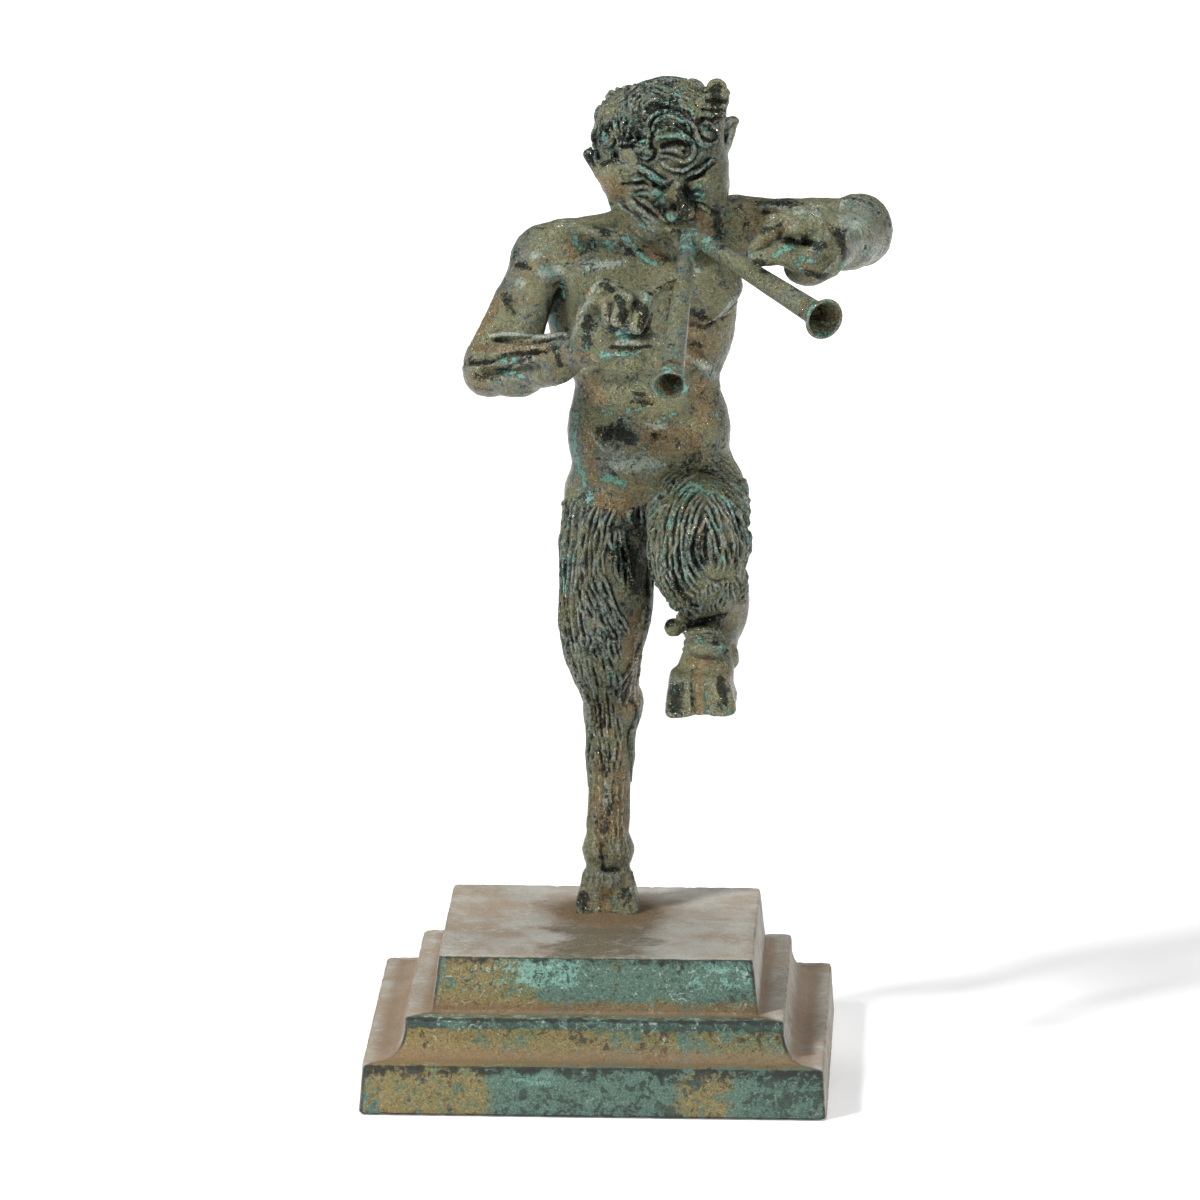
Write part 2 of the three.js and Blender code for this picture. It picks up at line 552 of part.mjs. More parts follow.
// Keeps the outer skin alone: small pockets that the forms enclose between them are filled.
function outerSkin({ points, faces }) {
  const group = points.map((_, v) => v);
  const root = (v) => {
    while (group[v] !== v) v = group[v] = group[group[v]];
    return v;
  };
  for (const [a, b, c] of faces) {
    group[root(b)] = root(a);
    group[root(c)] = root(a);
  }
  const sizes = new Map();
  for (const [a] of faces) sizes.set(root(a), (sizes.get(root(a)) ?? 0) + 1);
  const [largest] = [...sizes].reduce((best, entry) => (entry[1] > best[1] ? entry : best));
  return { points, faces: faces.filter(([a]) => root(a) === largest) };
}

// Triangles are spent where the carving is fine: each place weighs what is lost within its radius.
const FINE_PLACES = [
  { at: [12, -10, 178], radius: 17, weight: 5 },
  { at: [6, -36, 155], radius: 13, weight: 5 },
  { at: [40, -36, 168], radius: 13, weight: 5 },
  { at: [9, -8, 100], radius: 26, weight: 1.6 },
];
const PLAIN_BACK = { beyondY: 9, weight: 0.45 };
const LEAST_TURN = 0.3; // cosine of the most that a triangle may turn in one collapse
const THINNEST = 0.06; // twice a triangle's area over its longest edge squared

function weightAt([x, y, z]) {
  const near = FINE_PLACES.filter(({ at, radius }) => Math.hypot(x - at[0], y - at[1], z - at[2]) < radius);
  if (near.length) return Math.max(...near.map(({ weight }) => weight));
  return y > PLAIN_BACK.beyondY ? PLAIN_BACK.weight : 1;
}

// A heap that gives back the item with the least cost.
class Heap {
  items = [];

  push(item) {
    const { items } = this;
    let at = items.push(item) - 1;
    while (at > 0) {
      const up = (at - 1) >> 1;
      if (items[up].cost <= item.cost) break;
      items[at] = items[up];
      at = up;
    }
    items[at] = item;
  }

  pop() {
    const { items } = this;
    const top = items[0];
    const last = items.pop();
    if (!items.length) return top;
    let at = 0;
    for (;;) {
      let down = 2 * at + 1;
      if (down >= items.length) break;
      if (down + 1 < items.length && items[down + 1].cost < items[down].cost) down++;
      if (items[down].cost >= last.cost) break;
      items[at] = items[down];
      at = down;
    }
    items[at] = last;
    return top;
  }
}

const minus = (a, b) => [a[0] - b[0], a[1] - b[1], a[2] - b[2]];
const dot = (a, b) => a[0] * b[0] + a[1] * b[1] + a[2] * b[2];
const cross = (a, b) => [a[1] * b[2] - a[2] * b[1], a[2] * b[0] - a[0] * b[2], a[0] * b[1] - a[1] * b[0]];

// A triangle's direction, and how far it is from a sliver.
function spread(corners) {
  const [a, b, c] = corners;
  const normal = cross(minus(b, a), minus(c, a));
  const area = Math.hypot(...normal) || 1e-12;
  const longest = Math.max(...[minus(a, b), minus(b, c), minus(c, a)].map((side) => dot(side, side)));
  return { normal: normal.map((v) => v / area), evenness: area / longest };
}

// A quadric measures how far a point lies from a set of planes: [xx, xy, xz, xd, yy, yz, yd, zz, zd, dd].
function planeQuadric(a, b, c, weight) {
  const normal = cross(minus(b, a), minus(c, a));
  const size = Math.hypot(...normal) || 1e-12;
  const [x, y, z] = normal.map((v) => v / size);
  const d = -dot([x, y, z], a);
  return [x * x, x * y, x * z, x * d, y * y, y * z, y * d, z * z, z * d, d * d].map((v) => v * weight * size);
}
const lost = (q, [x, y, z]) =>
  q[0] * x * x + q[4] * y * y + q[7] * z * z + q[9] +
  2 * (q[1] * x * y + q[2] * x * z + q[3] * x + q[5] * y * z + q[6] * y + q[8] * z);

// Where a quadric is least, or nothing where its planes leave that open.
function bestPoint(q) {
  const [a, b, c, e, f, g] = [q[0], q[1], q[2], q[4], q[5], q[7]];
  const det = a * (e * g - f * f) - b * (b * g - c * f) + c * (b * f - c * e);
  const scale = (a + e + g) ** 3;
  if (Math.abs(det) < 1e-4 * scale) return null;
  const [r, s, t] = [-q[3], -q[6], -q[8]];
  return [
    (r * (e * g - f * f) - b * (s * g - f * t) + c * (s * f - e * t)) / det,
    (a * (s * g - f * t) - r * (b * g - c * f) + c * (b * t - c * s)) / det,
    (a * (e * t - f * s) - b * (b * t - c * s) + r * (b * f - c * e)) / det,
  ];
}

// Closes up the edges that cost the least shape until the wanted number of triangles is left.
function simplify({ points, faces }, wanted) {
  const around = points.map(() => new Set());
  const quadrics = points.map(() => new Array(10).fill(0));
  const version = new Uint32Array(points.length);
  const heap = new Heap();
  faces.forEach((face, n) => {
    const [a, b, c] = face.map((v) => points[v]);
    const q = planeQuadric(a, b, c, weightAt(a));
    for (const v of face) {
      around[v].add(n);
      q.forEach((value, i) => (quadrics[v][i] += value));
    }
  });
  const neighbours = (v) => {
    const found = new Set();
    for (const n of around[v]) for (const w of faces[n]) if (w !== v) found.add(w);
    return found;
  };
  const offer = (a, b) => {
    const q = quadrics[a].map((value, i) => value + quadrics[b][i]);
    const [p, r] = [points[a], points[b]];
    const middle = p.map((v, i) => (v + r[i]) / 2);
    const gap = minus(p, r);
    const span = dot(gap, gap);
    let target = bestPoint(q);
    if (!target || dot(minus(target, middle), minus(target, middle)) > span) target = middle;
    const cost = lost(q, target) + 1e-5 * span;
    heap.push({ cost, a, b, target, stamp: version[a] + version[b] });
  };
  points.forEach((_, a) => {
    for (const b of neighbours(a)) if (a < b) offer(a, b);
  });
  const keepsShape = (v, other, target) => {
    for (const n of around[v]) {
      const face = faces[n];
      if (face.includes(other)) continue;
      const was = spread(face.map((w) => points[w]));
      const is = spread(face.map((w) => (w === v ? target : points[w])));
      if (is.evenness < Math.min(THINNEST, was.evenness)) return false;
      if (dot(was.normal, is.normal) < (was.evenness < THINNEST ? 0 : LEAST_TURN)) return false;
    }
    return true;
  };
  let left = faces.length;
  while (left > wanted && heap.items.length) {
    const { a, b, target, stamp } = heap.pop();
    if (stamp !== version[a] + version[b] || !around[a].size || !around[b].size) continue;
    const shared = [...neighbours(a)].filter((v) => neighbours(b).has(v));
    const common = [...around[a]].filter((n) => around[b].has(n));
    if (shared.length !== 2 || common.length !== 2) continue;
    if (!keepsShape(a, b, target) || !keepsShape(b, a, target)) continue;
    for (const n of common) {
      for (const v of faces[n]) around[v].delete(n);
      faces[n] = null;
    }
    for (const n of around[b]) {
      faces[n] = faces[n].map((v) => (v === b ? a : v));
      around[a].add(n);
    }
    around[b].clear();
    points[a] = target;
    quadrics[b].forEach((value, i) => (quadrics[a][i] += value));
    version[a]++;
    version[b]++;
    left -= 2;
    for (const v of neighbours(a)) offer(a, v);
  }
  return { points, faces: faces.filter(Boolean) };
}

function toGeometry({ points, faces }) {
  const geometry = new THREE.BufferGeometry();
  geometry.setAttribute("position", new THREE.Float32BufferAttribute(points.flat(), 3));
  geometry.setIndex(faces.flat());
  return geometry;
}

function toManifold(geometry) {
  const bare = geometry.clone();
  bare.deleteAttribute("normal");
  bare.deleteAttribute("uv");
  const merged = mergeVertices(bare, 1e-4);
  return new wasm.Manifold(
    new wasm.Mesh({
      numProp: 3,
      vertProperties: new Float32Array(merged.attributes.position.array),
      triVerts: new Uint32Array(merged.index.array),
    }),
  );
}

function fromManifold(solid) {
  const { vertProperties, triVerts } = solid.getMesh();
  const geometry = new THREE.BufferGeometry();
  geometry.setAttribute("position", new THREE.BufferAttribute(vertProperties, 3));
  geometry.setIndex(new THREE.BufferAttribute(triVerts, 1));
  return geometry;
}

// A pipe widens slowly from the lips and flares into a hollow bell. Radii and lengths from the lips.
const PIPE = { lips: 1.5, middle: 1.9, neck: 2.3, flare: 5, wall: 0.7, cupDepth: 6 };
function pipe(bell, bellRadius) {
  const from = new THREE.Vector3(...PIPE_MOUTH);
  const way = new THREE.Vector3(...bell).sub(from);
  const length = way.length();
  const outline = [
    [0, 0],
    [PIPE.lips, 0],
    [PIPE.middle, length * 0.45],
    [PIPE.neck, length - PIPE.flare],
    [(PIPE.neck + bellRadius) / 2, length - PIPE.flare * 0.45],
    [bellRadius - 0.2, length - 0.5],
    [bellRadius, length],
    [bellRadius - PIPE.wall, length],
    [bellRadius - PIPE.wall - 0.8, length - PIPE.flare * 0.5],
    [0, length - PIPE.cupDepth],
  ].map(([r, h]) => new THREE.Vector2(r, h));
  const tube = new THREE.LatheGeometry(outline, PIPE_SIDES);
  tube.applyQuaternion(new THREE.Quaternion().setFromUnitVectors(new THREE.Vector3(0, 1, 0), way.normalize()));
  tube.translate(...PIPE_MOUTH);
  return tube;
}

function addHoof(clay, frame) {
  const { toe, cleftHalf, webDepth } = HOOF;
  const { height } = frame;
  const side = (out, front, back, inner, sign) => ({
    left: sign < 0 ? -out : inner,
    right: sign < 0 ? -inner : out,
    front,
    back,
    reach: out,
  });
  for (const sign of [-1, 1]) {
    const low = side(toe.outSole, toe.frontSole, toe.backSole, cleftHalf, sign);
    const high = side(toe.outTop, toe.frontTop, toe.backTop, cleftHalf, sign);
    clay.press(posed(block([0, 0, 0], low, high, height, 0.8), frame));
  }
  const web = (front, back) => ({ left: -2, right: 2, front: front + webDepth, back, reach: 6 });
  const webLow = web(toe.frontSole, toe.backSole - 2);
  const webHigh = web(toe.frontTop, toe.backTop - 1);
  clay.press(posed(block([0, 0, 0], webLow, webHigh, height, 0.5), frame));
}

function makeFaun() {
  const clay = new Clay([-33, -50, SOLE_Z - 1.6 * CLAY_CELL], [60, 28, 202], CLAY_CELL);
  clay.model(TORSO);
  BELLY_ROWS.heights.forEach((z, row) => {
    for (const side of [-1, 1]) {
      const at = [BELLY_ROWS.middleX + side * BELLY_ROWS.spread, BELLY_ROWS.depths[row], z];
      clay.press(posed(ball(at, BELLY_ROWS.size, BELLY_ROWS.blend), WORLD_FRAME));
    }
  });
  clay.model(NECK);
  clay.model(RIGHT_ARM);
  clay.model(LEFT_ARM);
  clay.model(STANDING_LEG);
  clay.model(RAISED_LEG);
  clay.model(TAIL);
  clay.model(SKULL, HEAD_FRAME);
  clay.model(SKULL_SIDE, HEAD_FRAME);
  clay.model(Object.values(SKULL_SIDE).map(mirrored), HEAD_FRAME);
  combHair(clay);
  clay.model(HORNS_AND_EARS);
  combFur(clay, FUR.standing);
  combFur(clay, FUR.raised);
  combWhorl(clay, KNEE_WHORL);
  clay.model(RIGHT_HAND);
  clay.model(LEFT_HAND);
  addHoof(clay, STANDING_HOOF);
  addHoof(clay, RAISED_HOOF);
  const shape = simplify(outerSkin(skin(clay)), FIGURE_TRIANGLES);
  for (const p of shape.points) p[2] = Math.max(p[2], SOLE_Z);
  return [pipe(RIGHT_BELL, 3.5), pipe(LEFT_BELL, 4)].reduce(
    (whole, tube) => whole.add(toManifold(tube)),
    toManifold(toGeometry(shape)),
  );
}

function makePlinth() {
  const p = PLINTH;
  const coveRise = p.coveHeight - p.filletHeight;
  const coveDepth = p.coveFootHalf - p.coveTopHalf;
  const cove = [0, 22.5, 45, 67.5, 90].map((angle) => {
    const turn = THREE.MathUtils.degToRad(angle);
    return [p.coveFootHalf - coveDepth * Math.sin(turn), p.slabHeight + coveRise * (1 - Math.cos(turn))];
  });
  const shoulder = p.slabHeight + p.coveHeight;
  const outline = [
    [0, 0],
    [p.slabHalf - p.arris, 0],
    [p.slabHalf, p.arris],
    [p.slabTopHalf, p.slabHeight - p.arris],
    [p.slabTopHalf - p.arris, p.slabHeight],
    ...cove,
    [p.coveTopHalf, shoulder - p.arris],
    [p.coveTopHalf - p.arris, shoulder],
    [p.blockFootHalf, shoulder],
    [p.blockTopHalf, PLINTH_TOP - p.arris],
    [p.blockTopHalf - p.arris, PLINTH_TOP],
    [0, PLINTH_TOP],
  ].map(([half, z]) => new THREE.Vector2(half * Math.SQRT2, z));
  const square = new THREE.LatheGeometry(outline, 4);
  square.rotateX(Math.PI / 2);
  square.rotateZ(Math.PI / 4);
  return toManifold(square);
}

const bronze = (color, roughness, metalness) => new THREE.MeshStandardMaterial({ color, roughness, metalness });
const FIGURE_BRONZE = bronze(0x4a4335, 0.45, 0.7);
const PLINTH_BRONZE = bronze(0x5c6a5c, 0.65, 0.45);

function part(name, solid, material) {
  const mesh = new THREE.Mesh(fromManifold(solid), material);
  mesh.name = name;
  return mesh;
}

const statuette = new THREE.Group();
statuette.add(part("faun", makeFaun(), FIGURE_BRONZE));
statuette.add(part("plinth", makePlinth(), PLINTH_BRONZE));

export default statuette;
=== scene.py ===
"""Dresses a bronze statuette of a dancing, piping faun on its stepped plinth.

The carving is modelled in millimetres in the frame of the part: +Z is up, the faun faces -Y and its
left side is towards +X. Right and left are the faun's own. Meshes are made in metres.
"""

import logging
import math
from dataclasses import dataclass, field, fields, replace
from enum import Enum
from typing import Any, Callable, Iterable, Sequence

import bpy
import numpy as np
from mathutils import Matrix, Vector


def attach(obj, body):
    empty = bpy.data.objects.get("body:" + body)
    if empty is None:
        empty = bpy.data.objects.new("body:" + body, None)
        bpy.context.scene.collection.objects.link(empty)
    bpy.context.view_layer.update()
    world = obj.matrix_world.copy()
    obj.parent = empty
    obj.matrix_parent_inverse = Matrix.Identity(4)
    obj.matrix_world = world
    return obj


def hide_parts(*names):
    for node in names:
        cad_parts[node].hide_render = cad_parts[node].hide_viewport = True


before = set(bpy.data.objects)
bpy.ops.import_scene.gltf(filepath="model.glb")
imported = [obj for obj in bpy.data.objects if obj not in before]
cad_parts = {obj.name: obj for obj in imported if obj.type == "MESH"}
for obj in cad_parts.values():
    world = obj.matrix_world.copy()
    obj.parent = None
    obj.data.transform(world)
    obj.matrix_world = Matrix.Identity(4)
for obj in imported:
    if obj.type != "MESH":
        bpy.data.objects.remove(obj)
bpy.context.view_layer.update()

LOG = logging.getLogger("statuette")
MILLIMETRE = 0.001
BODY = "root"

Point = tuple[float, float, float]
Box = tuple[np.ndarray, np.ndarray]
Colour = tuple[float, float, float, float]

PORTION_TRIANGLES = 190_000
FIGURE_LOW = (-35.0, -50.0, 25.0)
FIGURE_HIGH = (62.0, 30.0, 204.0)
FAR = 1000.0
SIGHT_STEP = 0.7
SIGHT_SPAN = (-75, 45)  # where a ray may meet the figure, before and behind the camera's target
GUIDE_POINTS = 40
TOUCH_POINTS = 24
TOUCH_REACH = 2.4  # how far a touch is painted, in its own reaches
PLINTH_TOP = 28.0
SOLE_Z = PLINTH_TOP + 0.02


def turned(yaw: float = 0, nod: float = 0, tilt: float = 0) -> np.ndarray:
    """Make a rotation from turns about Z, then X, then Y.

    Args:
        yaw: Turn about the vertical axis, in degrees.
        nod: Turn about the sideways axis, in degrees.
        tilt: Turn about the forward axis, in degrees.

    Returns:
        A 3 by 3 rotation matrix.
    """
    turns = [(yaw, "Z"), (nod, "X"), (tilt, "Y")]
    whole = Matrix.Identity(3)
    for angle, axis in turns:
        whole = whole @ Matrix.Rotation(math.radians(angle), 3, axis)
    return np.array(whole)


@dataclass(frozen=True)
class Pose:
    """Where a group of forms stands: its origin and its turns in degrees."""

    at: Point = (0, 0, 0)
    yaw: float = 0
    nod: float = 0
    tilt: float = 0

    @property
    def turn(self) -> np.ndarray:
        """Return the pose's rotation matrix."""
        return turned(self.yaw, self.nod, self.tilt)

    def place(self, point: Sequence[float]) -> np.ndarray:
        """Return the body's point for a point of this frame."""
        return self.turn @ np.asarray(point, float) + np.asarray(self.at, float)


@dataclass(frozen=True)
class Sight:
    """The photograph's camera. A mark is a place on its picture, which is 1200 pixels wide and high."""

    azimuth: float = 2.068
    elevation: float = 11.75
    distance: float = 2144.05
    roll: float = 0.228
    lens: float = 331.22
    sensor: float = 36
    target: Point = (-0.532, 0.0, 92.088)
    picture: int = 1200

    @property
    def back(self) -> np.ndarray:
        """Return the unit direction from the target to the camera."""
        a, e = math.radians(self.azimuth), math.radians(self.elevation)
        return np.array([math.sin(a) * math.cos(e), -math.cos(a) * math.cos(e), math.sin(e)])

    @property
    def place(self) -> np.ndarray:
        """Return the camera's place in millimetres."""
        return np.asarray(self.target) + self.back * self.distance

    @property
    def axes(self) -> np.ndarray:
        """Turn the camera's axes into a matrix.

        Returns:
            The picture's right, its up and the way back, one in each row.
        """
        right = np.cross(-self.back, (0, 0, 1))
        right /= np.linalg.norm(right)
        up = np.cross(right, -self.back)
        r = math.radians(self.roll)
        cosine, sine = math.cos(r), math.sin(r)
        return np.array([right * cosine + up * sine, up * cosine - right * sine, self.back])

    def rays(self, marks: np.ndarray) -> np.ndarray:
        """Point from the camera through marks.

        Args:
            marks: Places on the picture.

        Returns:
            The unit direction from the camera through each.
        """
        half = self.picture / 2
        focal = self.lens / self.sensor * self.picture
        flat = np.stack([marks[:, 0] - half, half - marks[:, 1], np.full(len(marks), -focal)], 1)
        ways = flat @ self.axes
        return ways / np.linalg.norm(ways, axis=1, keepdims=True)

    def marks(self, points: np.ndarray) -> np.ndarray:
        """Project points onto the picture.

        Args:
            points: Places in the body's frame.

        Returns:
            Where each lies on the picture, across and down.
        """
        seen = (points - self.place) @ self.axes.T
        focal = self.lens / self.sensor * self.picture
        return self.picture / 2 + focal * np.stack([-seen[:, 0], seen[:, 1]], 1) / seen[:, 2:]


SIGHT = Sight()


@dataclass(frozen=True)
class Limb:
    """A round bar whose radius changes evenly from its start to its end."""

    start: Point
    end: Point
    start_radius: float
    end_radius: float
    blend: float = 1.0
    cuts: bool = False

    def box(self) -> Box:
        """Find the bar's room.

        Returns:
            Its lowest and its highest corner.
        """
        ends = np.array([self.start, self.end], float)
        radius = max(self.start_radius, self.end_radius)
        return ends.min(0) - radius, ends.max(0) + radius

    def posed(self, pose: Pose) -> "Limb":
        """Return the bar as it stands in a pose."""
        return replace(self, start=tuple(pose.place(self.start)), end=tuple(pose.place(self.end)))

    def mirrored(self) -> "Limb":
        """Return the bar on the other side of the middle plane."""
        flip = lambda p: (-p[0], p[1], p[2])
        return replace(self, start=flip(self.start), end=flip(self.end))

    def distance(self, x: np.ndarray, y: np.ndarray, z: np.ndarray) -> np.ndarray:
        """Measure how far points lie from the bar's surface.

        Args:
            x: First coordinates.
            y: Second coordinates.
            z: Third coordinates.

        Returns:
            Distances, negative inside.
        """
        start = np.asarray(self.start, np.float32)
        axis = np.asarray(self.end, np.float32) - start
        dx, dy, dz = x - start[0], y - start[1], z - start[2]
        along = np.clip((dx * axis[0] + dy * axis[1] + dz * axis[2]) / max(axis @ axis, 1e-9), 0, 1)
        gap = (dx - along * axis[0]) ** 2 + (dy - along * axis[1]) ** 2 + (dz - along * axis[2]) ** 2
        return np.sqrt(gap) - (self.start_radius + (self.end_radius - self.start_radius) * along)


@dataclass(frozen=True)
class Ball:
    """An ellipsoid; its half sizes run along the axes of its pose."""

    at: Point
    size: Point
    blend: float = 1.0
    cuts: bool = False
    pose: Pose = Pose()

    def box(self) -> Box:
        """Return the lowest and the highest corner of the ellipsoid."""
        reach = np.sqrt(((self.pose.turn * np.asarray(self.size)) ** 2).sum(1))
        return np.asarray(self.at) - reach, np.asarray(self.at) + reach

    def posed(self, pose: Pose) -> "Ball":
        """Return the ellipsoid as it stands in a pose."""
        return replace(self, at=tuple(pose.place(self.at)), pose=pose)

    def mirrored(self) -> "Ball":
        """Return the ellipsoid on the other side of the middle plane."""
        return replace(self, at=(-self.at[0], self.at[1], self.at[2]))

    def distance(self, x: np.ndarray, y: np.ndarray, z: np.ndarray) -> np.ndarray:
        """Measure how far points lie from the ellipsoid's surface.

        Args:
            x: First coordinates.
            y: Second coordinates.
            z: Third coordinates.

        Returns:
            Distances, negative inside.
        """
        turn = self.pose.turn
        dx, dy, dz = x - self.at[0], y - self.at[1], z - self.at[2]
        near, rate = 0.0, 0.0
        for axis, half in enumerate(self.size):
            share = (turn[0, axis] * dx + turn[1, axis] * dy + turn[2, axis] * dz) / np.float32(half)
            near = near + share**2
            rate = rate + (share / np.float32(half)) ** 2
        near = np.sqrt(near)
        return near * (near - 1) / np.maximum(np.sqrt(rate), 1e-6)


@dataclass(frozen=True)
class Block:
    """A block with leaning flat sides; a side is (left, right, front, back) at its foot and its top."""

    low: tuple[float, float, float, float]
    high: tuple[float, float, float, float]
    height: float
    blend: float = 0.8
    rounding: float = 1.7
    cuts: bool = False
    pose: Pose = Pose()

    def box(self) -> Box:
        """Return the lowest and the highest corner that the block can reach."""
        reach = self.height + max(map(abs, self.low + self.high))
        return np.asarray(self.pose.at) - reach, np.asarray(self.pose.at) + reach

    def posed(self, pose: Pose) -> "Block":
        """Return the block as it stands in a pose."""
        return replace(self, pose=pose)

    def distance(self, x: np.ndarray, y: np.ndarray, z: np.ndarray) -> np.ndarray:
        """Measure how far points lie outside the block's planes.

        Args:
            x: First coordinates.
            y: Second coordinates.
            z: Third coordinates.

        Returns:
            Distances, negative inside.
        """
        turn = self.pose.turn
        delta = [value - self.pose.at[n] for n, value in enumerate((x, y, z))]
        px, py, pz = (sum(turn[n, axis] * delta[n] for n in range(3)) for axis in range(3))
        share = np.clip(pz / self.height, 0, 1)
        left, right, front, back = (a + (b - a) * share for a, b in zip(self.low, self.high))
        sides = [left - px, px - right, front - py, py - back, -pz, pz - self.height]
        largest = sides[0]
        for side in sides[1:]:
            largest = -smooth_min(-largest, -side, self.rounding)
        return largest


@dataclass(frozen=True, eq=False)
class Lock:
    """A lock of hair or fur: a bar along a bent path with a radius at each point."""

    path: np.ndarray
    radii: np.ndarray
    blend: float
    cuts: bool = False

    def box(self) -> Box:
        """Return the lowest and the highest corner of the lock."""
        radius = self.radii.max()
        return self.path.min(0) - radius, self.path.max(0) + radius

    def distance(self, x: np.ndarray, y: np.ndarray, z: np.ndarray) -> np.ndarray:
        """Measure how far points lie from the lock's surface.

        Args:
            x: First coordinates.
            y: Second coordinates.
            z: Third coordinates.

        Returns:
            Distances, negative inside.
        """
        nearest = None
        for n in range(len(self.path) - 1):
            bar = Limb(tuple(self.path[n]), tuple(self.path[n + 1]), self.radii[n], self.radii[n + 1])
            gap = bar.distance(x, y, z)
            nearest = gap if nearest is None else np.minimum(nearest, gap)
        return nearest


Form = Limb | Ball | Block | Lock


def smooth_min(a: np.ndarray, b: np.ndarray, blend: float) -> np.ndarray:
    """Return the smaller of two distances, rounded where they are within blend of each other."""
    overlap = np.maximum(blend - np.abs(a - b), 0) / blend
    return np.minimum(a, b) - overlap * overlap * blend / 4


class Clay:
    """A grid of distances to the surface, negative inside, that forms are pressed onto or cut from."""

    def __init__(self, low: Point, high: Point, cell: float) -> None:
        """Set up empty clay.

        Args:
            low: Lowest corner of the grid.
            high: Highest corner of the grid.
            cell: Spacing of the grid.
        """
        self.low = np.asarray(low, float)
        self.cell = cell
        count = np.ceil((np.asarray(high) - self.low) / cell).astype(int) + 1
        self.values = np.full(count, FAR, np.float32)

    def press(self, form: Form) -> None:
        """Press a form onto the clay, or cut it away if it cuts.

        Args:
            form: The form, in the clay's frame.
        """
        low, high = form.box()
        reach = form.blend + 3 * self.cell
        first = np.maximum(np.floor((low - reach - self.low) / self.cell).astype(int), 0)
        last = np.minimum(np.ceil((high + reach - self.low) / self.cell).astype(int) + 1, self.values.shape)
        if (first >= last).any():
            return
        window = tuple(slice(a, b) for a, b in zip(first, last))
        spans = zip(self.low, first, last)
        x, y, z = ((low + self.cell * np.arange(a, b)).astype(np.float32) for low, a, b in spans)
        gap = form.distance(x[:, None, None], y[None, :, None], z[None, None, :]).astype(np.float32)
        old = self.values[window]
        if form.cuts:
            self.values[window] = -smooth_min(-old, gap, form.blend)
        else:
            self.values[window] = smooth_min(old, gap, form.blend)

    def model(self, forms: Iterable[Form], pose: Pose | None = None) -> None:
        """Press several forms in turn.

        Args:
            forms: The forms.
            pose: The frame that they are given in, or None for the body's frame.
        """
        for form in forms:
            self.press(form.posed(pose) if pose else form)

    def sample(self, points: np.ndarray) -> np.ndarray:
        """Return the distance at each of the points."""
        return sample_grid(self.values, (points - self.low) / self.cell)

    def slope(self, points: np.ndarray) -> np.ndarray:
        """Find which way is out.

        Args:
            points: Places in the clay.

        Returns:
            The unit direction out of the clay at each.
        """
        step = 1.2 * self.cell
        ways = np.empty_like(points)
        for axis in range(3):
            shift = np.zeros(3)
            shift[axis] = step
            ways[:, axis] = self.sample(points + shift) - self.sample(points - shift)
        return ways / np.maximum(np.linalg.norm(ways, axis=1, keepdims=True), 1e-9)

    def surface(self, points: np.ndarray) -> np.ndarray:
        """Move points onto the surface.

        Args:
            points: Places near the surface.

        Returns:
            The surface point next to each.
        """
        moved = points.copy()
        for _ in range(4):
            moved -= self.slope(moved) * np.clip(self.sample(moved), -3, 3)[:, None]
        return moved

    def outward(self, inner: np.ndarray, ways: np.ndarray) -> np.ndarray:
        """Follow rays from inside the clay to its surface.

        Args:
            inner: One start point, or one for each ray.
            ways: Unit directions.

        Returns:
            The first surface point on each ray.
        """
        points = np.broadcast_to(inner, ways.shape).astype(float).copy()
        for _ in range(int(40 / self.cell)):
            inside = self.sample(points) < 0
            if not inside.any():
                break
            points[inside] += ways[inside] * self.cell
        return self.surface(points)

    def seen(self, marks: np.ndarray) -> np.ndarray:
        """Follow the camera's rays to the clay.

        Args:
            marks: Places on the picture.

        Returns:
            The surface point at each mark, or the nearest one where the ray passes by.
        """
        rays = SIGHT.rays(marks)
        reaches = SIGHT.distance + np.arange(*SIGHT_SPAN, SIGHT_STEP)
        best = np.full(len(marks), FAR)
        found = np.full(len(marks), reaches[0])
        open_rays = np.ones(len(marks), bool)
        for reach in reaches:
            gap = self.sample(SIGHT.place + rays * reach)
            nearer = open_rays & (gap < best)
            best[nearer] = gap[nearer]
            found[nearer] = reach
            open_rays &= gap > 0
        return self.surface(SIGHT.place + rays * found[:, None])


def sample_grid(grid: np.ndarray, places: np.ndarray) -> np.ndarray:
    """Read a grid between its nodes.

    Args:
        grid: Values on a regular grid.
        places: Positions in grid units.

    Returns:
        The value at each position, mixed from the eight nodes round it.
    """
    places = np.clip(places, 0, np.asarray(grid.shape) - 1.001)
    whole = places.astype(int)
    share = (places - whole).astype(np.float32)
    i, j, k = whole.T
    u, v, w = share.T
    total = np.zeros(len(places), np.float32)
    for a in (0, 1):
        for b in (0, 1):
            for c in (0, 1):
                weight = (u if a else 1 - u) * (v if b else 1 - v) * (w if c else 1 - w)
                total += weight * grid[i + a, j + b, k + c]
    return total


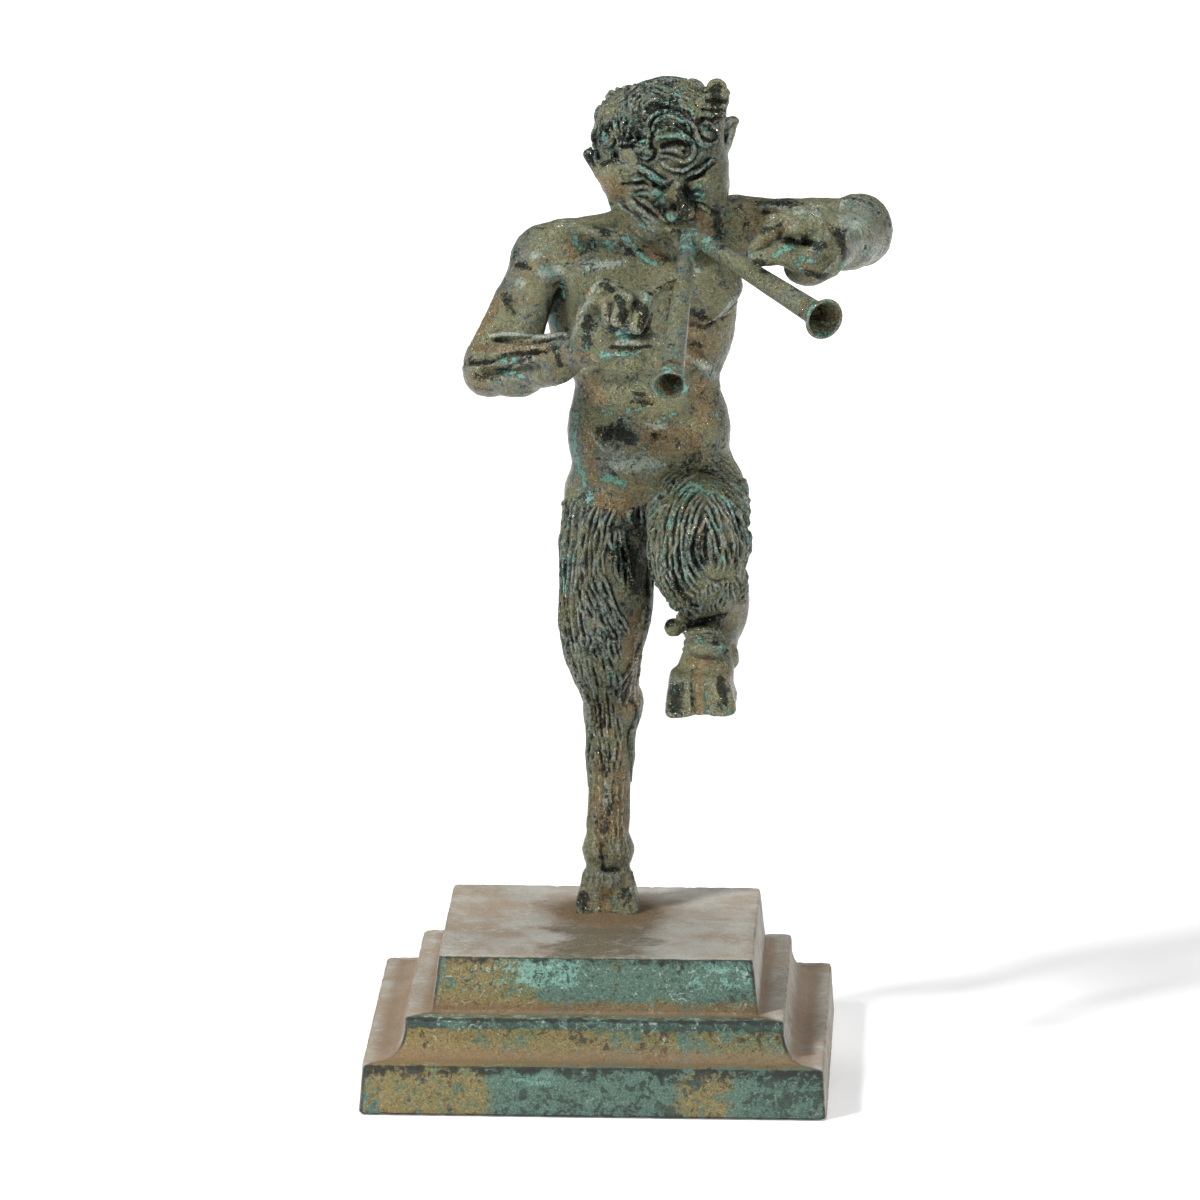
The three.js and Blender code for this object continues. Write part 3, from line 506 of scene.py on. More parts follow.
def skin(clay: Clay) -> tuple[np.ndarray, np.ndarray]:
    """Lay one smooth net of four-sided faces over the clay.

    Args:
        clay: The finished clay.

    Returns:
        The points, in millimetres, and the faces as four point numbers each.
    """
    inside = clay.values < 0
    corners = [(a, b, c) for a in (0, 1) for b in (0, 1) for c in (0, 1)]
    size = np.asarray(inside.shape) - 1
    held = np.zeros(size, np.uint8)
    for a, b, c in corners:
        held += inside[a : a + size[0], b : b + size[1], c : c + size[2]]
    active = (held > 0) & (held < 8)
    cells = np.argwhere(active)
    number = np.full(size, -1, np.int32)
    number[active] = np.arange(len(cells))
    values = {c: clay.values[cells[:, 0] + c[0], cells[:, 1] + c[1], cells[:, 2] + c[2]] for c in corners}
    total = np.zeros((len(cells), 3))
    hits = np.zeros(len(cells))
    for a in corners:
        for axis in range(3):
            if a[axis]:
                continue
            b = tuple(1 if n == axis else a[n] for n in range(3))
            crossed = (values[a] < 0) != (values[b] < 0)
            share = values[a][crossed] / (values[a][crossed] - values[b][crossed])
            total[crossed] += np.asarray(a)
            total[crossed, axis] += share
            hits[crossed] += 1
    points = clay.low + clay.cell * (cells + total / hits[:, None])
    faces = []
    for axis in range(3):
        u, w = (axis + 1) % 3, (axis + 2) % 3
        near = np.take(inside, range(inside.shape[axis] - 1), axis)
        far = np.take(inside, range(1, inside.shape[axis]), axis)
        nodes = np.argwhere(near != far)
        kept = (nodes[:, u] > 0) & (nodes[:, w] > 0) & (nodes[:, u] < size[u]) & (nodes[:, w] < size[w])
        nodes = nodes[kept]
        ring = []
        for du, dw in ((1, 1), (0, 1), (0, 0), (1, 0)):
            cell = nodes.copy()
            cell[:, u] -= du
            cell[:, w] -= dw
            ring.append(number[cell[:, 0], cell[:, 1], cell[:, 2]])
        quads = np.stack(ring, 1)
        outward = near[tuple(nodes.T)]
        quads[~outward] = quads[~outward][:, ::-1]
        faces.append(quads)
    return points, np.concatenate(faces)


def outer_skin(points: np.ndarray, faces: np.ndarray) -> tuple[np.ndarray, np.ndarray]:
    """Keep the largest connected net alone.

    Args:
        points: All points.
        faces: All faces.

    Returns:
        The points and faces of the outer net.
    """
    label = np.arange(len(points))
    a, b = faces[:, [0, 1, 2, 3]].ravel(), faces[:, [1, 2, 3, 0]].ravel()
    while True:
        low = np.minimum(label[a], label[b])
        new = label.copy()
        np.minimum.at(new, a, low)
        np.minimum.at(new, b, low)
        new = new[new]
        if (new == label).all():
            break
        label = new
    names, counts = np.unique(label, return_counts=True)
    kept = label == names[counts.argmax()]
    number = np.cumsum(kept) - 1
    return points[kept], number[faces[kept[faces[:, 0]]]]


def blurred(grid: np.ndarray, reach: int) -> np.ndarray:
    """Average a grid twice along each axis.

    Args:
        grid: What is averaged.
        reach: How many nodes it reaches each way.

    Returns:
        The smooth grid.
    """
    for axis in (0, 1, 2, 0, 1, 2):
        edge = [(reach + 1, reach) if n == axis else (0, 0) for n in range(3)]
        total = np.cumsum(np.pad(grid, edge, mode="edge"), axis=axis, dtype=np.float64)
        count = grid.shape[axis]
        high = np.take(total, range(2 * reach + 1, 2 * reach + 1 + count), axis)
        low = np.take(total, range(0, count), axis)
        grid = ((high - low) / (2 * reach + 1)).astype(np.float32)
    return grid


def lattice_noise(points: np.ndarray, spacing: float, seed: int) -> np.ndarray:
    """Make smooth noise.

    Args:
        points: Where it is read.
        spacing: How far its random values lie apart.
        seed: Picks the values.

    Returns:
        A number from -1 to 1 for each point.
    """
    low = np.asarray(FIGURE_LOW)
    count = np.ceil((np.asarray(FIGURE_HIGH) - low) / spacing).astype(int) + 2
    grid = np.random.default_rng(seed).uniform(-1, 1, count).astype(np.float32)
    places = (points - low) / spacing
    whole = np.floor(places)
    share = places - whole
    return sample_grid(grid, whole + share * share * (3 - 2 * share))


Marks = tuple[float, ...]  # a place on the picture, across and down, and the steps on from there


def curved(marks: Sequence[float], count: int) -> np.ndarray:
    """Draw the smooth curve through some marks.

    Args:
        marks: The first mark and the steps from there.
        count: How many points are wanted.

    Returns:
        Evenly spaced points on the picture.
    """
    given = np.cumsum(np.reshape(np.asarray(marks, float), (-1, 2)), axis=0)
    padded = np.concatenate([[2 * given[0] - given[1]], given, [2 * given[-1] - given[-2]]])
    spans = []
    share = np.linspace(0, 1, 12, endpoint=False)[:, None]
    for a, b, c, d in zip(padded, padded[1:], padded[2:], padded[3:]):
        bend = (2 * a - 5 * b + 4 * c - d) * share**2 + (3 * b - a - 3 * c + d) * share**3
        spans.append(b + 0.5 * ((c - a) * share + bend))
    line = np.concatenate([*spans, given[-1:]])
    reach = np.concatenate([[0], np.cumsum(np.linalg.norm(np.diff(line, axis=0), axis=1))])
    at = np.linspace(0, reach[-1], count)
    return np.stack([np.interp(at, reach, line[:, n]) for n in range(line.shape[1])], 1)


@dataclass(frozen=True)
class Stroke:
    """A ridge or a groove drawn on the clay as the camera sees it."""

    marks: Marks
    radius: float = 0.5
    rise: float = 0.35
    cuts: bool = False
    blunt: float = 0.35

    def lines(self, rng: np.random.Generator) -> list[np.ndarray]:
        """Return the stroke's one line on the picture."""
        length = np.linalg.norm(np.reshape(self.marks, (-1, 2))[1:], axis=1).sum()
        return [curved(self.marks, max(4, round(length / 2)))]


def strokes(*rows: Marks, cuts: bool = False, blunt: float = 0.35) -> tuple[Stroke, ...]:
    """Return a stroke for each row of a radius, a rise and marks."""
    return tuple(Stroke(tuple(marks), radius, rise, cuts, blunt) for radius, rise, *marks in rows)


@dataclass(frozen=True)
class Sheaf:
    """Strands drawn side by side between guide lines, broken into overlapping pieces."""

    guides: tuple[Marks, ...]
    strands: int
    radius: float = 0.4
    pieces: int = 2
    wave: float = 0.8
    rise: float = 0.45
    cuts: bool = False
    blunt: float = 0.2

    def lines(self, rng: np.random.Generator) -> list[np.ndarray]:
        """Spread the strands between the guides.

        Args:
            rng: The source of the strands' variation.

        Returns:
            The pieces of all strands, as lines on the picture.
        """
        guides = np.stack([curved(guide, GUIDE_POINTS) for guide in self.guides])
        shift = rng.uniform(-0.15, 0.15, self.strands) / self.strands
        places = np.linspace(0, len(guides) - 1, self.strands) + shift
        share = np.linspace(0, 1, GUIDE_POINTS)
        lines = []
        for n, place in enumerate(np.clip(places, 0, len(guides) - 1.001)):
            low = int(place)
            line = guides[low] + (guides[low + 1] - guides[low]) * (place - low)
            ahead = np.gradient(line, axis=0)
            side = np.stack([-ahead[:, 1], ahead[:, 0]], 1)
            side /= np.maximum(np.linalg.norm(side, axis=1, keepdims=True), 1e-6)
            turns, start = rng.uniform(1, 2.2), rng.uniform(0, 2 * math.pi)
            line = line + side * (self.wave * np.sin(share * turns * 2 * math.pi + start))[:, None]
            cuts = np.arange(self.pieces + 1) / self.pieces
            cuts[1:-1] += rng.uniform(-0.3, 0.3, self.pieces - 1) / self.pieces
            for a, b in zip(cuts, cuts[1:]):
                first = max(0, round((a - rng.uniform(0.02, 0.1)) * (GUIDE_POINTS - 1)))
                last = min(GUIDE_POINTS - 1, round((b + rng.uniform(0.0, 0.08)) * (GUIDE_POINTS - 1)))
                lines.append(line[first : last + 1])
        return lines


def draw(clay: Clay, group: Sequence[Stroke | Sheaf], seed: int) -> None:
    """Lay drawn strokes on the clay, all of them on the clay as it is now.

    Args:
        clay: What is drawn on.
        group: The strokes.
        seed: Seed of the strands' variation.
    """
    rng = np.random.default_rng(seed)
    drawn = [(stroke, line) for stroke in group for line in stroke.lines(rng)]
    places = clay.seen(np.concatenate([line for _, line in drawn]))
    out = clay.slope(places)
    first = 0
    for stroke, line in drawn:
        part = slice(first, first + len(line))
        first += len(line)
        path, ways = places[part], out[part]
        steps = np.linalg.norm(np.diff(path, axis=0), axis=1)
        broken = np.flatnonzero(steps > 4 * np.median(steps) + 0.3)
        for a, b in zip([0, *(broken + 1)], [*(broken + 1), len(path)]):
            if b - a < 3:
                continue
            share = np.linspace(0, 1, b - a)
            width = stroke.blunt + (1 - stroke.blunt) * np.sin(math.pi * share**0.8) ** 0.6
            raised = path[a:b] + ways[a:b] * (stroke.radius * stroke.rise * width)[:, None]
            blend = stroke.radius * (0.9 if stroke.cuts else 0.35)
            clay.press(Lock(raised, stroke.radius * width, blend, stroke.cuts))


@dataclass
class Carving:
    """A group of forms: its fields are pressed in the order in which they stand."""

    def forms(self) -> list[Form]:
        """Return the forms among the fields."""
        values = [getattr(self, f.name) for f in fields(self)]
        return [value for value in values if isinstance(value, (Limb, Ball, Block))]


@dataclass
class Torso(Carving):
    """The trunk from the neck to the hips."""

    pelvis: Ball = Ball((9, 8, 114.5), (14.4, 10.4, 10.5), 4)
    belly: Ball = Ball((8.6, 5, 122), (14.6, 9.8, 10), 5)
    waist: Ball = Ball((8.3, 5.6, 131), (14.2, 9.4, 11), 5)
    ribs: Ball = Ball((8, 4.8, 145), (15.9, 10.8, 14), 5)
    upper_chest: Ball = Ball((8.6, 5, 156), (16.6, 9.4, 9), 5)
    shoulder_girdle: Limb = Limb((-6, 6, 160.4), (24, 6, 164.6), 5.8, 5.6, 5)
    right_lat: Ball = Ball((-5.2, 5, 149), (5.8, 8, 12), 4)
    left_lat: Ball = Ball((20.4, 7, 150), (4.6, 8, 12), 4)
    right_pec: Ball = Ball((0.2, -2.4, 154.2), (8.8, 5, 6.6), 2.2)
    left_pec: Ball = Ball((18, -2.2, 155), (8.8, 5, 6.6), 2.2)
    right_collarbone: Limb = Limb((6.6, -1.8, 163.6), (-8, 0.5, 165.4), 1.3, 1.5, 2)
    left_collarbone: Limb = Limb((11.8, -1.8, 163.8), (24, 0.5, 168.6), 1.3, 1.5, 2)
    right_oblique: Ball = Ball((-2, 4, 125), (4.2, 5.4, 6), 4)
    left_oblique: Ball = Ball((19.6, 4, 125.6), (4.2, 5.4, 6), 4)
    right_shoulder_blade: Ball = Ball((-0.4, 11.6, 156), (7, 4, 8), 3)
    left_shoulder_blade: Ball = Ball((17.8, 11.6, 158), (7, 4, 8), 3)
    right_buttock: Ball = Ball((1.4, 13.6, 109), (9, 7.4, 9.4), 3)
    left_buttock: Ball = Ball((17.4, 12.6, 110.4), (9, 7.4, 9.4), 3)
    loin: Ball = Ball((8.8, 11, 120), (11, 6, 8), 4)
    right_back_muscle: Limb = Limb((5.6, 14.2, 150), (5.8, 14.6, 122), 2.2, 2.8, 3)
    left_back_muscle: Limb = Limb((12.2, 14.2, 150), (12.2, 14.6, 122), 2.2, 2.8, 3)
    spine_groove: Limb = Limb((8.8, 16.6, 163), (9, 17.6, 119), 1.4, 1.6, 3, True)
    breastbone_groove: Limb = Limb((9.2, -7.9, 160), (8.8, -8.2, 146), 1, 0.8, 2.4, True)
    armpit_hollow: Ball = Ball((-9.2, -5.2, 150), (2.2, 3, 5), 2.4, True)


@dataclass
class Belly(Carving):
    """The paired muscles of the belly, the rib edge, the side muscles and the navel."""

    middle_x: float = 8.5
    spread: float = 4.4
    heights: tuple[float, ...] = (139.6, 131.6, 123.6)
    depths: tuple[float, ...] = (-3.6, -2, -3)
    size: Point = (4.2, 2.6, 3.4)
    right_rib_edge: Limb = Limb((7.4, -6, 145.6), (-3.4, -3.6, 138.4), 1, 1.2, 1.8)
    left_rib_edge: Limb = Limb((10, -6, 145.6), (20, -3.6, 139), 1, 1.2, 1.8)
    middle_groove: Limb = Limb((8.6, -7.4, 144), (8.8, -6.4, 124), 0.7, 0.6, 1.6, True)
    navel: Limb = Limb((10, -6.6, 125.2), (10, -5, 125.5), 0.7, 0.5, 1.1, True)
    navel_fold: Limb = Limb((8.4, -5.9, 126.8), (11.6, -5.9, 126.8), 0.5, 0.5, 0.8)
    right_groin: Limb = Limb((-4.6, -2.4, 119.6), (4.6, -3.8, 110.8), 0.9, 0.7, 2, True)
    left_groin: Limb = Limb((22.6, -2.4, 120.6), (14, -3.8, 112.6), 0.9, 0.7, 2, True)

    def forms(self) -> list[Form]:
        """Build the forms.

        Returns:
            The paired muscles, then the fields' own forms.
        """
        pairs = [
            Ball((self.middle_x + side * self.spread, depth, height), self.size, 1.6)
            for height, depth in zip(self.heights, self.depths)
            for side in (-1, 1)
        ]
        return pairs + super().forms()


@dataclass
class Neck(Carving):
    """The neck and its two cords."""

    column: Limb = Limb((9.4, 6, 162), (10.8, 1.5, 174), 7, 6.4, 4)
    right_cord: Limb = Limb((6.8, -0.6, 164.2), (4.4, -1.6, 173), 1.7, 2.2, 2.4)
    left_cord: Limb = Limb((12.2, -0.8, 164.4), (19.4, -0.6, 174), 1.7, 2.2, 2.4)
    throat_pit: Ball = Ball((9.4, -4.2, 164.6), (1.6, 1.6, 1.8), 1.6, True)


HEAD = Pose((10.8, -3, 181.2), 15, 22, -16)


@dataclass
class Skull(Carving):
    """The middle of the head, in the head's own frame: -Y is the way that the face looks."""

    cranium: Ball = Ball((0, 1.6, 1.2), (10.3, 11.2, 9.2), 3)
    face: Ball = Ball((0, -3.4, -5), (9.4, 8, 10.6), 4)
    nose_bridge: Limb = Limb((0.6, -11, -1.2), (1, -13, -5.4), 1.1, 1.3, 1.8)
    nose_tip: Ball = Ball((1, -13.5, -6.5), (1.6, 1.5, 1.4), 1)
    lips: Ball = Ball((0, -11.4, -11.4), (3.2, 2.4, 2.6), 1.4)
    chin: Ball = Ball((0, -8.4, -15.4), (3.8, 3.2, 2.6), 2.2)
    upper_lip: Limb = Limb((-2.4, -12.9, -10), (2.4, -12.9, -10), 0.8, 0.8, 0.6)
    lower_lip: Limb = Limb((-1.8, -13, -13.2), (1.8, -13, -13.2), 0.8, 0.8, 0.6)
    mouth_hollow: Ball = Ball((0.2, -14.2, -11.7), (1.9, 1.8, 1.5), 0.8, True)
    frown: Limb = Limb((0, -13.4, 1.8), (0, -12.4, -0.6), 0.5, 0.4, 0.7, True)


@dataclass
class FaceSide(Carving):
    """What stands on the left side of the face; it is mirrored for the right side."""

    socket: Ball = Ball((4.5, -12.1, -2.3), (2.7, 2.2, 1.5), 1.4, True)
    eyeball: Ball = Ball((4.3, -9.6, -2.2), (2.1, 1.8, 1.4), 0.5)
    cheekbone: Ball = Ball((6.2, -8, -4.8), (3.1, 2.7, 2.2), 1.8)
    cheek: Ball = Ball((5.2, -8.6, -9.6), (4.3, 3.6, 3.8), 1.6)
    jaw: Limb = Limb((8, -1.6, -9), (3, -6.6, -14.6), 3.6, 3.4, 3)
    nostril: Ball = Ball((1.7, -12.6, -7.1), (1.1, 1.3, 1), 0.8)
    nostril_hole: Ball = Ball((1, -14.4, -7.9), (0.6, 0.9, 0.5), 0.4, True)

    def mirrored(self) -> list[Form]:
        """Return the forms of the right side."""
        return [form.mirrored() for form in self.forms()]


@dataclass
class HairMass(Carving):
    """The body of the hair under its strands."""

    top: Ball = Ball((12.6, -1.6, 185.6), (10.2, 10, 8.8), 2.4)
    right_top: Ball = Ball((4.6, -1.8, 184.8), (5.7, 8, 7.6), 2)
    fringe: Ball = Ball((14.2, -8.6, 182.4), (7.4, 5, 4.4), 2, pose=Pose(yaw=10, nod=20, tilt=-10))


@dataclass
class HornsAndEars(Carving):
    """Two stub horns, the ears and the curls beside them."""

    left_horn_foot: Limb = Limb((20.6, -7.8, 183), (21.3, -7.2, 189.4), 2.3, 2.1, 0.6)
    left_horn_tip: Limb = Limb((21.3, -7.2, 189.4), (21.7, -5.8, 193.8), 2.1, 1.95, 0.5)
    right_horn_foot: Limb = Limb((1.8, -6.4, 184.4), (1.1, -5, 188.2), 2.3, 2.2, 0.6)
    right_horn_tip: Limb = Limb((1.1, -5, 188.2), (3.4, -1.4, 190.6), 2.2, 1.7, 0.4)
    left_ear: Limb = Limb((22.6, -2.6, 183.2), (24.8, -2, 186.8), 2.2, 1.1, 1)
    right_ear: Limb = Limb((-0.4, -2.6, 177.6), (-2.8, -1.4, 179.8), 1.9, 1.3, 0.9)
    right_temple: Ball = Ball((3.2, -2.6, 177.4), (4.2, 6, 6.6), 2)
    left_temple: Ball = Ball((19.6, -5, 177.4), (4.6, 6, 7.4), 2)
    right_side_curls: Ball = Ball((1.6, -4.4, 182.8), (2.8, 4, 3.2), 1)
    left_ear_hollow: Limb = Limb((23.6, -4.8, 183.8), (24.9, -3.5, 186.4), 0.8, 0.4, 0.6, True)
    right_ear_hollow: Limb = Limb((-1.8, -4, 178.4), (-2.7, -3.1, 179.8), 0.7, 0.3, 0.6, True)
    ridge_heights: tuple[float, ...] = (0.16, 0.36, 0.56, 0.74, 0.94)
    ridge_thickness: float = 1.35

    def forms(self) -> list[Form]:
        """Build the forms.

        Returns:
            The fields' forms, then the rings of the left horn.
        """
        horn = self.left_horn_foot
        start, end = np.asarray(horn.start), np.asarray(horn.end)
        rings = []
        for n, share in enumerate(self.ridge_heights):
            at = start + (end - start) * share * 1.6
            radius = horn.start_radius + 0.1 - 0.06 * n
            pose = Pose(yaw=40 * n, nod=-8, tilt=6 - 12 * (n % 2))
            rings.append(Ball(tuple(at), (radius, radius, self.ridge_thickness), 0.3, pose=pose))
        return super().forms() + rings


@dataclass
class RightArm(Carving):
    """The bent right arm down to the wrist."""

    shoulder: Ball = Ball((-11, 3.6, 158.6), (6.9, 7, 7), 3)
    upper_arm: Limb = Limb((-12.6, 2.6, 157), (-21.6, -6.6, 141), 5.4, 4.7, 2.2)
    biceps: Limb = Limb((-13.6, -3, 153), (-15.6, -7.4, 145.6), 4.2, 4.2, 2)
    elbow: Ball = Ball((-22.4, -7, 138.4), (4.5, 4.6, 4.6), 1.4)
    forearm: Limb = Limb((-21, -9, 138.8), (-8.6, -21.4, 143.2), 5, 4.6, 2)
    fore_muscle: Ball = Ball((-16, -13, 139.4), (5.6, 5, 4.8), 2)
    fore_wrist: Limb = Limb((-10, -20, 143.4), (-1.6, -28, 147.2), 4.4, 3, 2.2)
    upper_cord: Limb = Limb((-20, -12.8, 143.2), (-6, -26, 147.4), 1.6, 1.2, 1.6)
    under_fold: Limb = Limb((-22.4, -13.6, 139.6), (-12, -24.4, 142), 0.5, 0.3, 2, True)


@dataclass
class RightHand(Carving):
    """The right hand: palm up beside the pipe, with the fingers bent over."""

    wrist: Limb = Limb((-2.2, -27.6, 147), (0.8, -32, 150.6), 3, 3.3, 1.6)
    palm: Ball = Ball((-1.9, -31.0, 152.0), (2.5, 2.7, 4.6), 1.6)
    edge: Limb = Limb((-4.5, -29.0, 149.1), (0.5, -34.0, 160.7), 1, 1, 1)
    little_knuckle: Ball = Ball((0.1, -35.0, 158.3), (2, 2, 2), 0.8)
    ring_knuckle: Ball = Ball((1.3, -35.0, 160.1), (1.7, 1.8, 1.7), 0.6)
    third_knuckle: Ball = Ball((3.2, -35.0, 159.9), (1.5, 1.7, 1.6), 0.6)
    little_finger: Limb = Limb((1.7, -36.5, 157.8), (1.9, -36.0, 153.3), 1.1, 1, 0.6)
    ring_base: Limb = Limb((3.6, -36.5, 159.0), (5.4, -39.0, 158.3), 1.8, 1.8, 0.8)
    ring_tip: Limb = Limb((5.4, -39.0, 158.3), (4.1, -40.0, 154.6), 1.7, 1.45, 0.6)
    middle_base: Limb = Limb((6.2, -35.5, 158.1), (9.1, -37.5, 157.9), 1.8, 2, 0.8)
    middle_tip: Limb = Limb((9.1, -37.5, 157.9), (7.7, -40.5, 153.4), 1.9, 1.5, 0.6)
    web: Ball = Ball((6.2, -34.0, 150.9), (4.6, 2, 2.4), 1.2)
    index_base: Limb = Limb((9.6, -34.0, 157.9), (11.9, -29.5, 159.2), 1.7, 1.6, 0.8)
    index_tip: Limb = Limb((11.9, -29.5, 159.2), (15.6, -27.0, 160.3), 1.5, 1.3, 0.5)
    thumb_base: Limb = Limb((0.5, -33.0, 147.1), (5.4, -37.0, 148.9), 2.1, 1.8, 1)
    thumb_tip: Limb = Limb((5.4, -37.0, 148.9), (11.1, -38.0, 150.5), 1.8, 1.4, 0.8)


@dataclass
class LeftArm(Carving):
    """The raised left arm down to the wrist."""

    shoulder: Ball = Ball((25.6, 4.4, 163.8), (6.6, 6.6, 6.6), 3)
    upper_arm: Limb = Limb((27, 4.2, 165), (47, 2, 166), 5.7, 5.3, 2.2)
    biceps: Limb = Limb((33, 0.6, 165.4), (41, 0, 166), 4, 4, 2)
    elbow: Ball = Ball((49.4, 0.6, 165.6), (6, 6, 6.9), 1.8)
    forearm: Limb = Limb((49.2, -2, 165), (47, -15, 165.6), 6, 5, 2)
    fore_wrist: Limb = Limb((47, -14, 165.6), (45.4, -24, 166.4), 4.9, 3.4, 2.2)


@dataclass
class LeftHand(Carving):
    """The left hand, which holds its pipe from the side."""

    wrist: Limb = Limb((45.6, -23.4, 166.4), (44, -29, 167), 3.5, 4.4, 1.6)
    palm: Ball = Ball((42.8, -32.6, 167.2), (4.7, 4.4, 5.6), 1.4)
    heel: Ball = Ball((40.0, -35.5, 164.2), (4.6, 3.6, 3.4), 1.4)
    knuckles: Limb = Limb((44.6, -31, 171), (38.6, -34, 172.8), 3, 2.4, 1.4)
    index_base: Limb = Limb((37.6, -33.5, 174.0), (33.5, -36.0, 171.4), 2.3, 2, 1)
    index_tip: Limb = Limb((33.5, -36.0, 171.4), (29.5, -34.5, 166.8), 2, 1.6, 0.8)
    middle_base: Limb = Limb((41.2, -37.0, 173.3), (37.1, -39.6, 172.8), 2.2, 2, 1)
    middle_tip: Limb = Limb((37.1, -39.6, 172.8), (36.4, -38.0, 170.8), 1.9, 1.4, 0.7)
    ring_base: Limb = Limb((42.2, -37.0, 170.9), (40.7, -38.5, 168.8), 2.1, 2, 1)
    little_base: Limb = Limb((42.2, -36.5, 168.3), (39.6, -38.5, 167.1), 1.8, 1.6, 0.8)
    finger_gap: Limb = Limb((35.9, -41.4, 170.6), (40.6, -40.6, 170.3), 1, 0.9, 0.6, True)
    thumb_base: Limb = Limb((39.6, -38.0, 165.8), (35.3, -40.0, 167.7), 2.7, 2.2, 1.2)
    thumb_tip: Limb = Limb((35.3, -40.0, 167.7), (30.3, -38.0, 166.3), 2, 1.5, 0.8)


@dataclass
class StandingLeg(Carving):
    """The right leg, which carries the figure, down to the pastern."""

    thigh: Limb = Limb((0.8, 8, 111), (0.9, 2.4, 92), 8.6, 8.2, 3)
    knee: Ball = Ball((0.3, 0.6, 86.6), (7.6, 7.6, 8), 3)
    shank: Limb = Limb((0.1, 2.6, 81), (1.4, 11, 71), 6.2, 4.7, 3)
    hock: Ball = Ball((1.9, 12.6, 68.6), (4.9, 5.8, 5.4), 2)
    hock_point: Ball = Ball((1.9, 17, 71.4), (2.4, 2.6, 3.2), 2)
    cannon: Limb = Limb((1.3, 12.4, 66.4), (0.9, 9.9, 43), 4.2, 4.1, 2)
    shin: Limb = Limb((1, 8.6, 64), (0.9, 6.4, 44), 1.2, 1, 1.4)
    fetlock: Ball = Ball((0.9, 9.8, 40.2), (5.1, 5.2, 4.2), 1.4)
    right_dewclaw: Ball = Ball((-1.6, 15, 39.6), (1.5, 1.6, 1.9), 0.6)
    left_dewclaw: Ball = Ball((3.4, 15, 39.6), (1.5, 1.6, 1.9), 0.6)
    pastern: Limb = Limb((0.9, 9.6, 37.4), (0.9, 9.2, 34), 4.2, 4.8, 1)
    fetlock_groove: Limb = Limb((0.5, 4.6, 42.6), (0.6, 3.6, 36), 0.5, 0.6, 0.8, True)


@dataclass
class RaisedLeg(Carving):
    """The left leg, bent at the knee with its hoof lifted."""

    hip: Ball = Ball((16.8, 7, 112), (9.8, 9.6, 9.4), 4)
    thigh: Limb = Limb((17.4, 5.6, 112), (18.7, -13.6, 107.4), 9.2, 8.5, 3)
    knee: Ball = Ball((18.8, -16.6, 105.2), (8.5, 7, 8.8), 3)
    shank: Limb = Limb((19.3, -14.8, 101), (21.6, -6, 94), 7.4, 6.9, 3)
    hock: Ball = Ball((22.2, -3.6, 91.6), (6, 6, 5.4), 2)
    heel: Ball = Ball((25.2, 0.4, 91.4), (2.9, 3.4, 4), 1.6)
    cannon: Limb = Limb((22.2, -5, 88.6), (20.8, -17.4, 84.6), 5.1, 4.8, 2)
    fetlock: Ball = Ball((20.6, -19.6, 82.6), (5.4, 5.2, 4.2), 1.4)
    right_dewclaw: Ball = Ball((18, -15, 79.8), (1.5, 1.6, 1.9), 0.6)
    left_dewclaw: Ball = Ball((23.2, -15, 79.2), (1.5, 1.6, 1.9), 0.6)
    outer_dewclaw: Ball = Ball((25.4, -14.6, 83.9), (1.6, 2.2, 2.2), 1.3)
    front_swelling: Ball = Ball((21.1, -22.0, 87.5), (3.4, 2.4, 1.8), 1)
    knob_stalk: Limb = Limb((14.6, -10, 89.4), (18.4, -9, 90.4), 1.1, 2.2, 0.8)
    knob: Ball = Ball((14, -10, 89), (1.7, 1.7, 1.75), 0.2)


@dataclass
class Tail(Carving):
    """The short upturned tail."""

    root: Limb = Limb((9, 17.4, 118), (9.2, 21.2, 121.4), 2.6, 2.4, 1.6)
    tip: Limb = Limb((9.2, 21.2, 121.4), (9.6, 22.6, 117), 2.4, 1, 0.8)


@dataclass
class Hoof(Carving):
    """A cloven hoof on its own frame: two toes that widen to a flat sole, and a web that lies back."""

    height: float = 6.4
    out_top: float = 5.2
    out_sole: float = 6.5
    front_top: float = -3.6
    front_sole: float = -6.2
    back_top: float = 4.4
    back_sole: float = 5
    cleft_half: float = 0.95
    web_depth: float = 0.9

    def forms(self) -> list[Form]:
        """Build the forms.

        Returns:
            The two toes and the web.
        """
        forms: list[Form] = []
        for sign in (-1, 1):
            low, high = (
                (min(sign * out, sign * self.cleft_half), max(sign * out, sign * self.cleft_half), front, back)
                for out, front, back in (
                    (self.out_sole, self.front_sole, self.back_sole),
                    (self.out_top, self.front_top, self.back_top),
                )
            )
            forms.append(Block(low, high, self.height))
        web_low = (-2, 2, self.front_sole + self.web_depth, self.back_sole - 2)
        web_high = (-2, 2, self.front_top + self.web_depth, self.back_top - 1)
        return forms + [Block(web_low, web_high, self.height, 0.5)]


STANDING_HOOF = Pose((0.9, 9, SOLE_Z))
RAISED_HOOF = Pose((19.9, -22.4, 76), 0, 12, -3)
WIDE_HOOF = Hoof(height=7.4, out_top=5.6, out_sole=7.1)

Flow = Callable[[np.ndarray], np.ndarray]


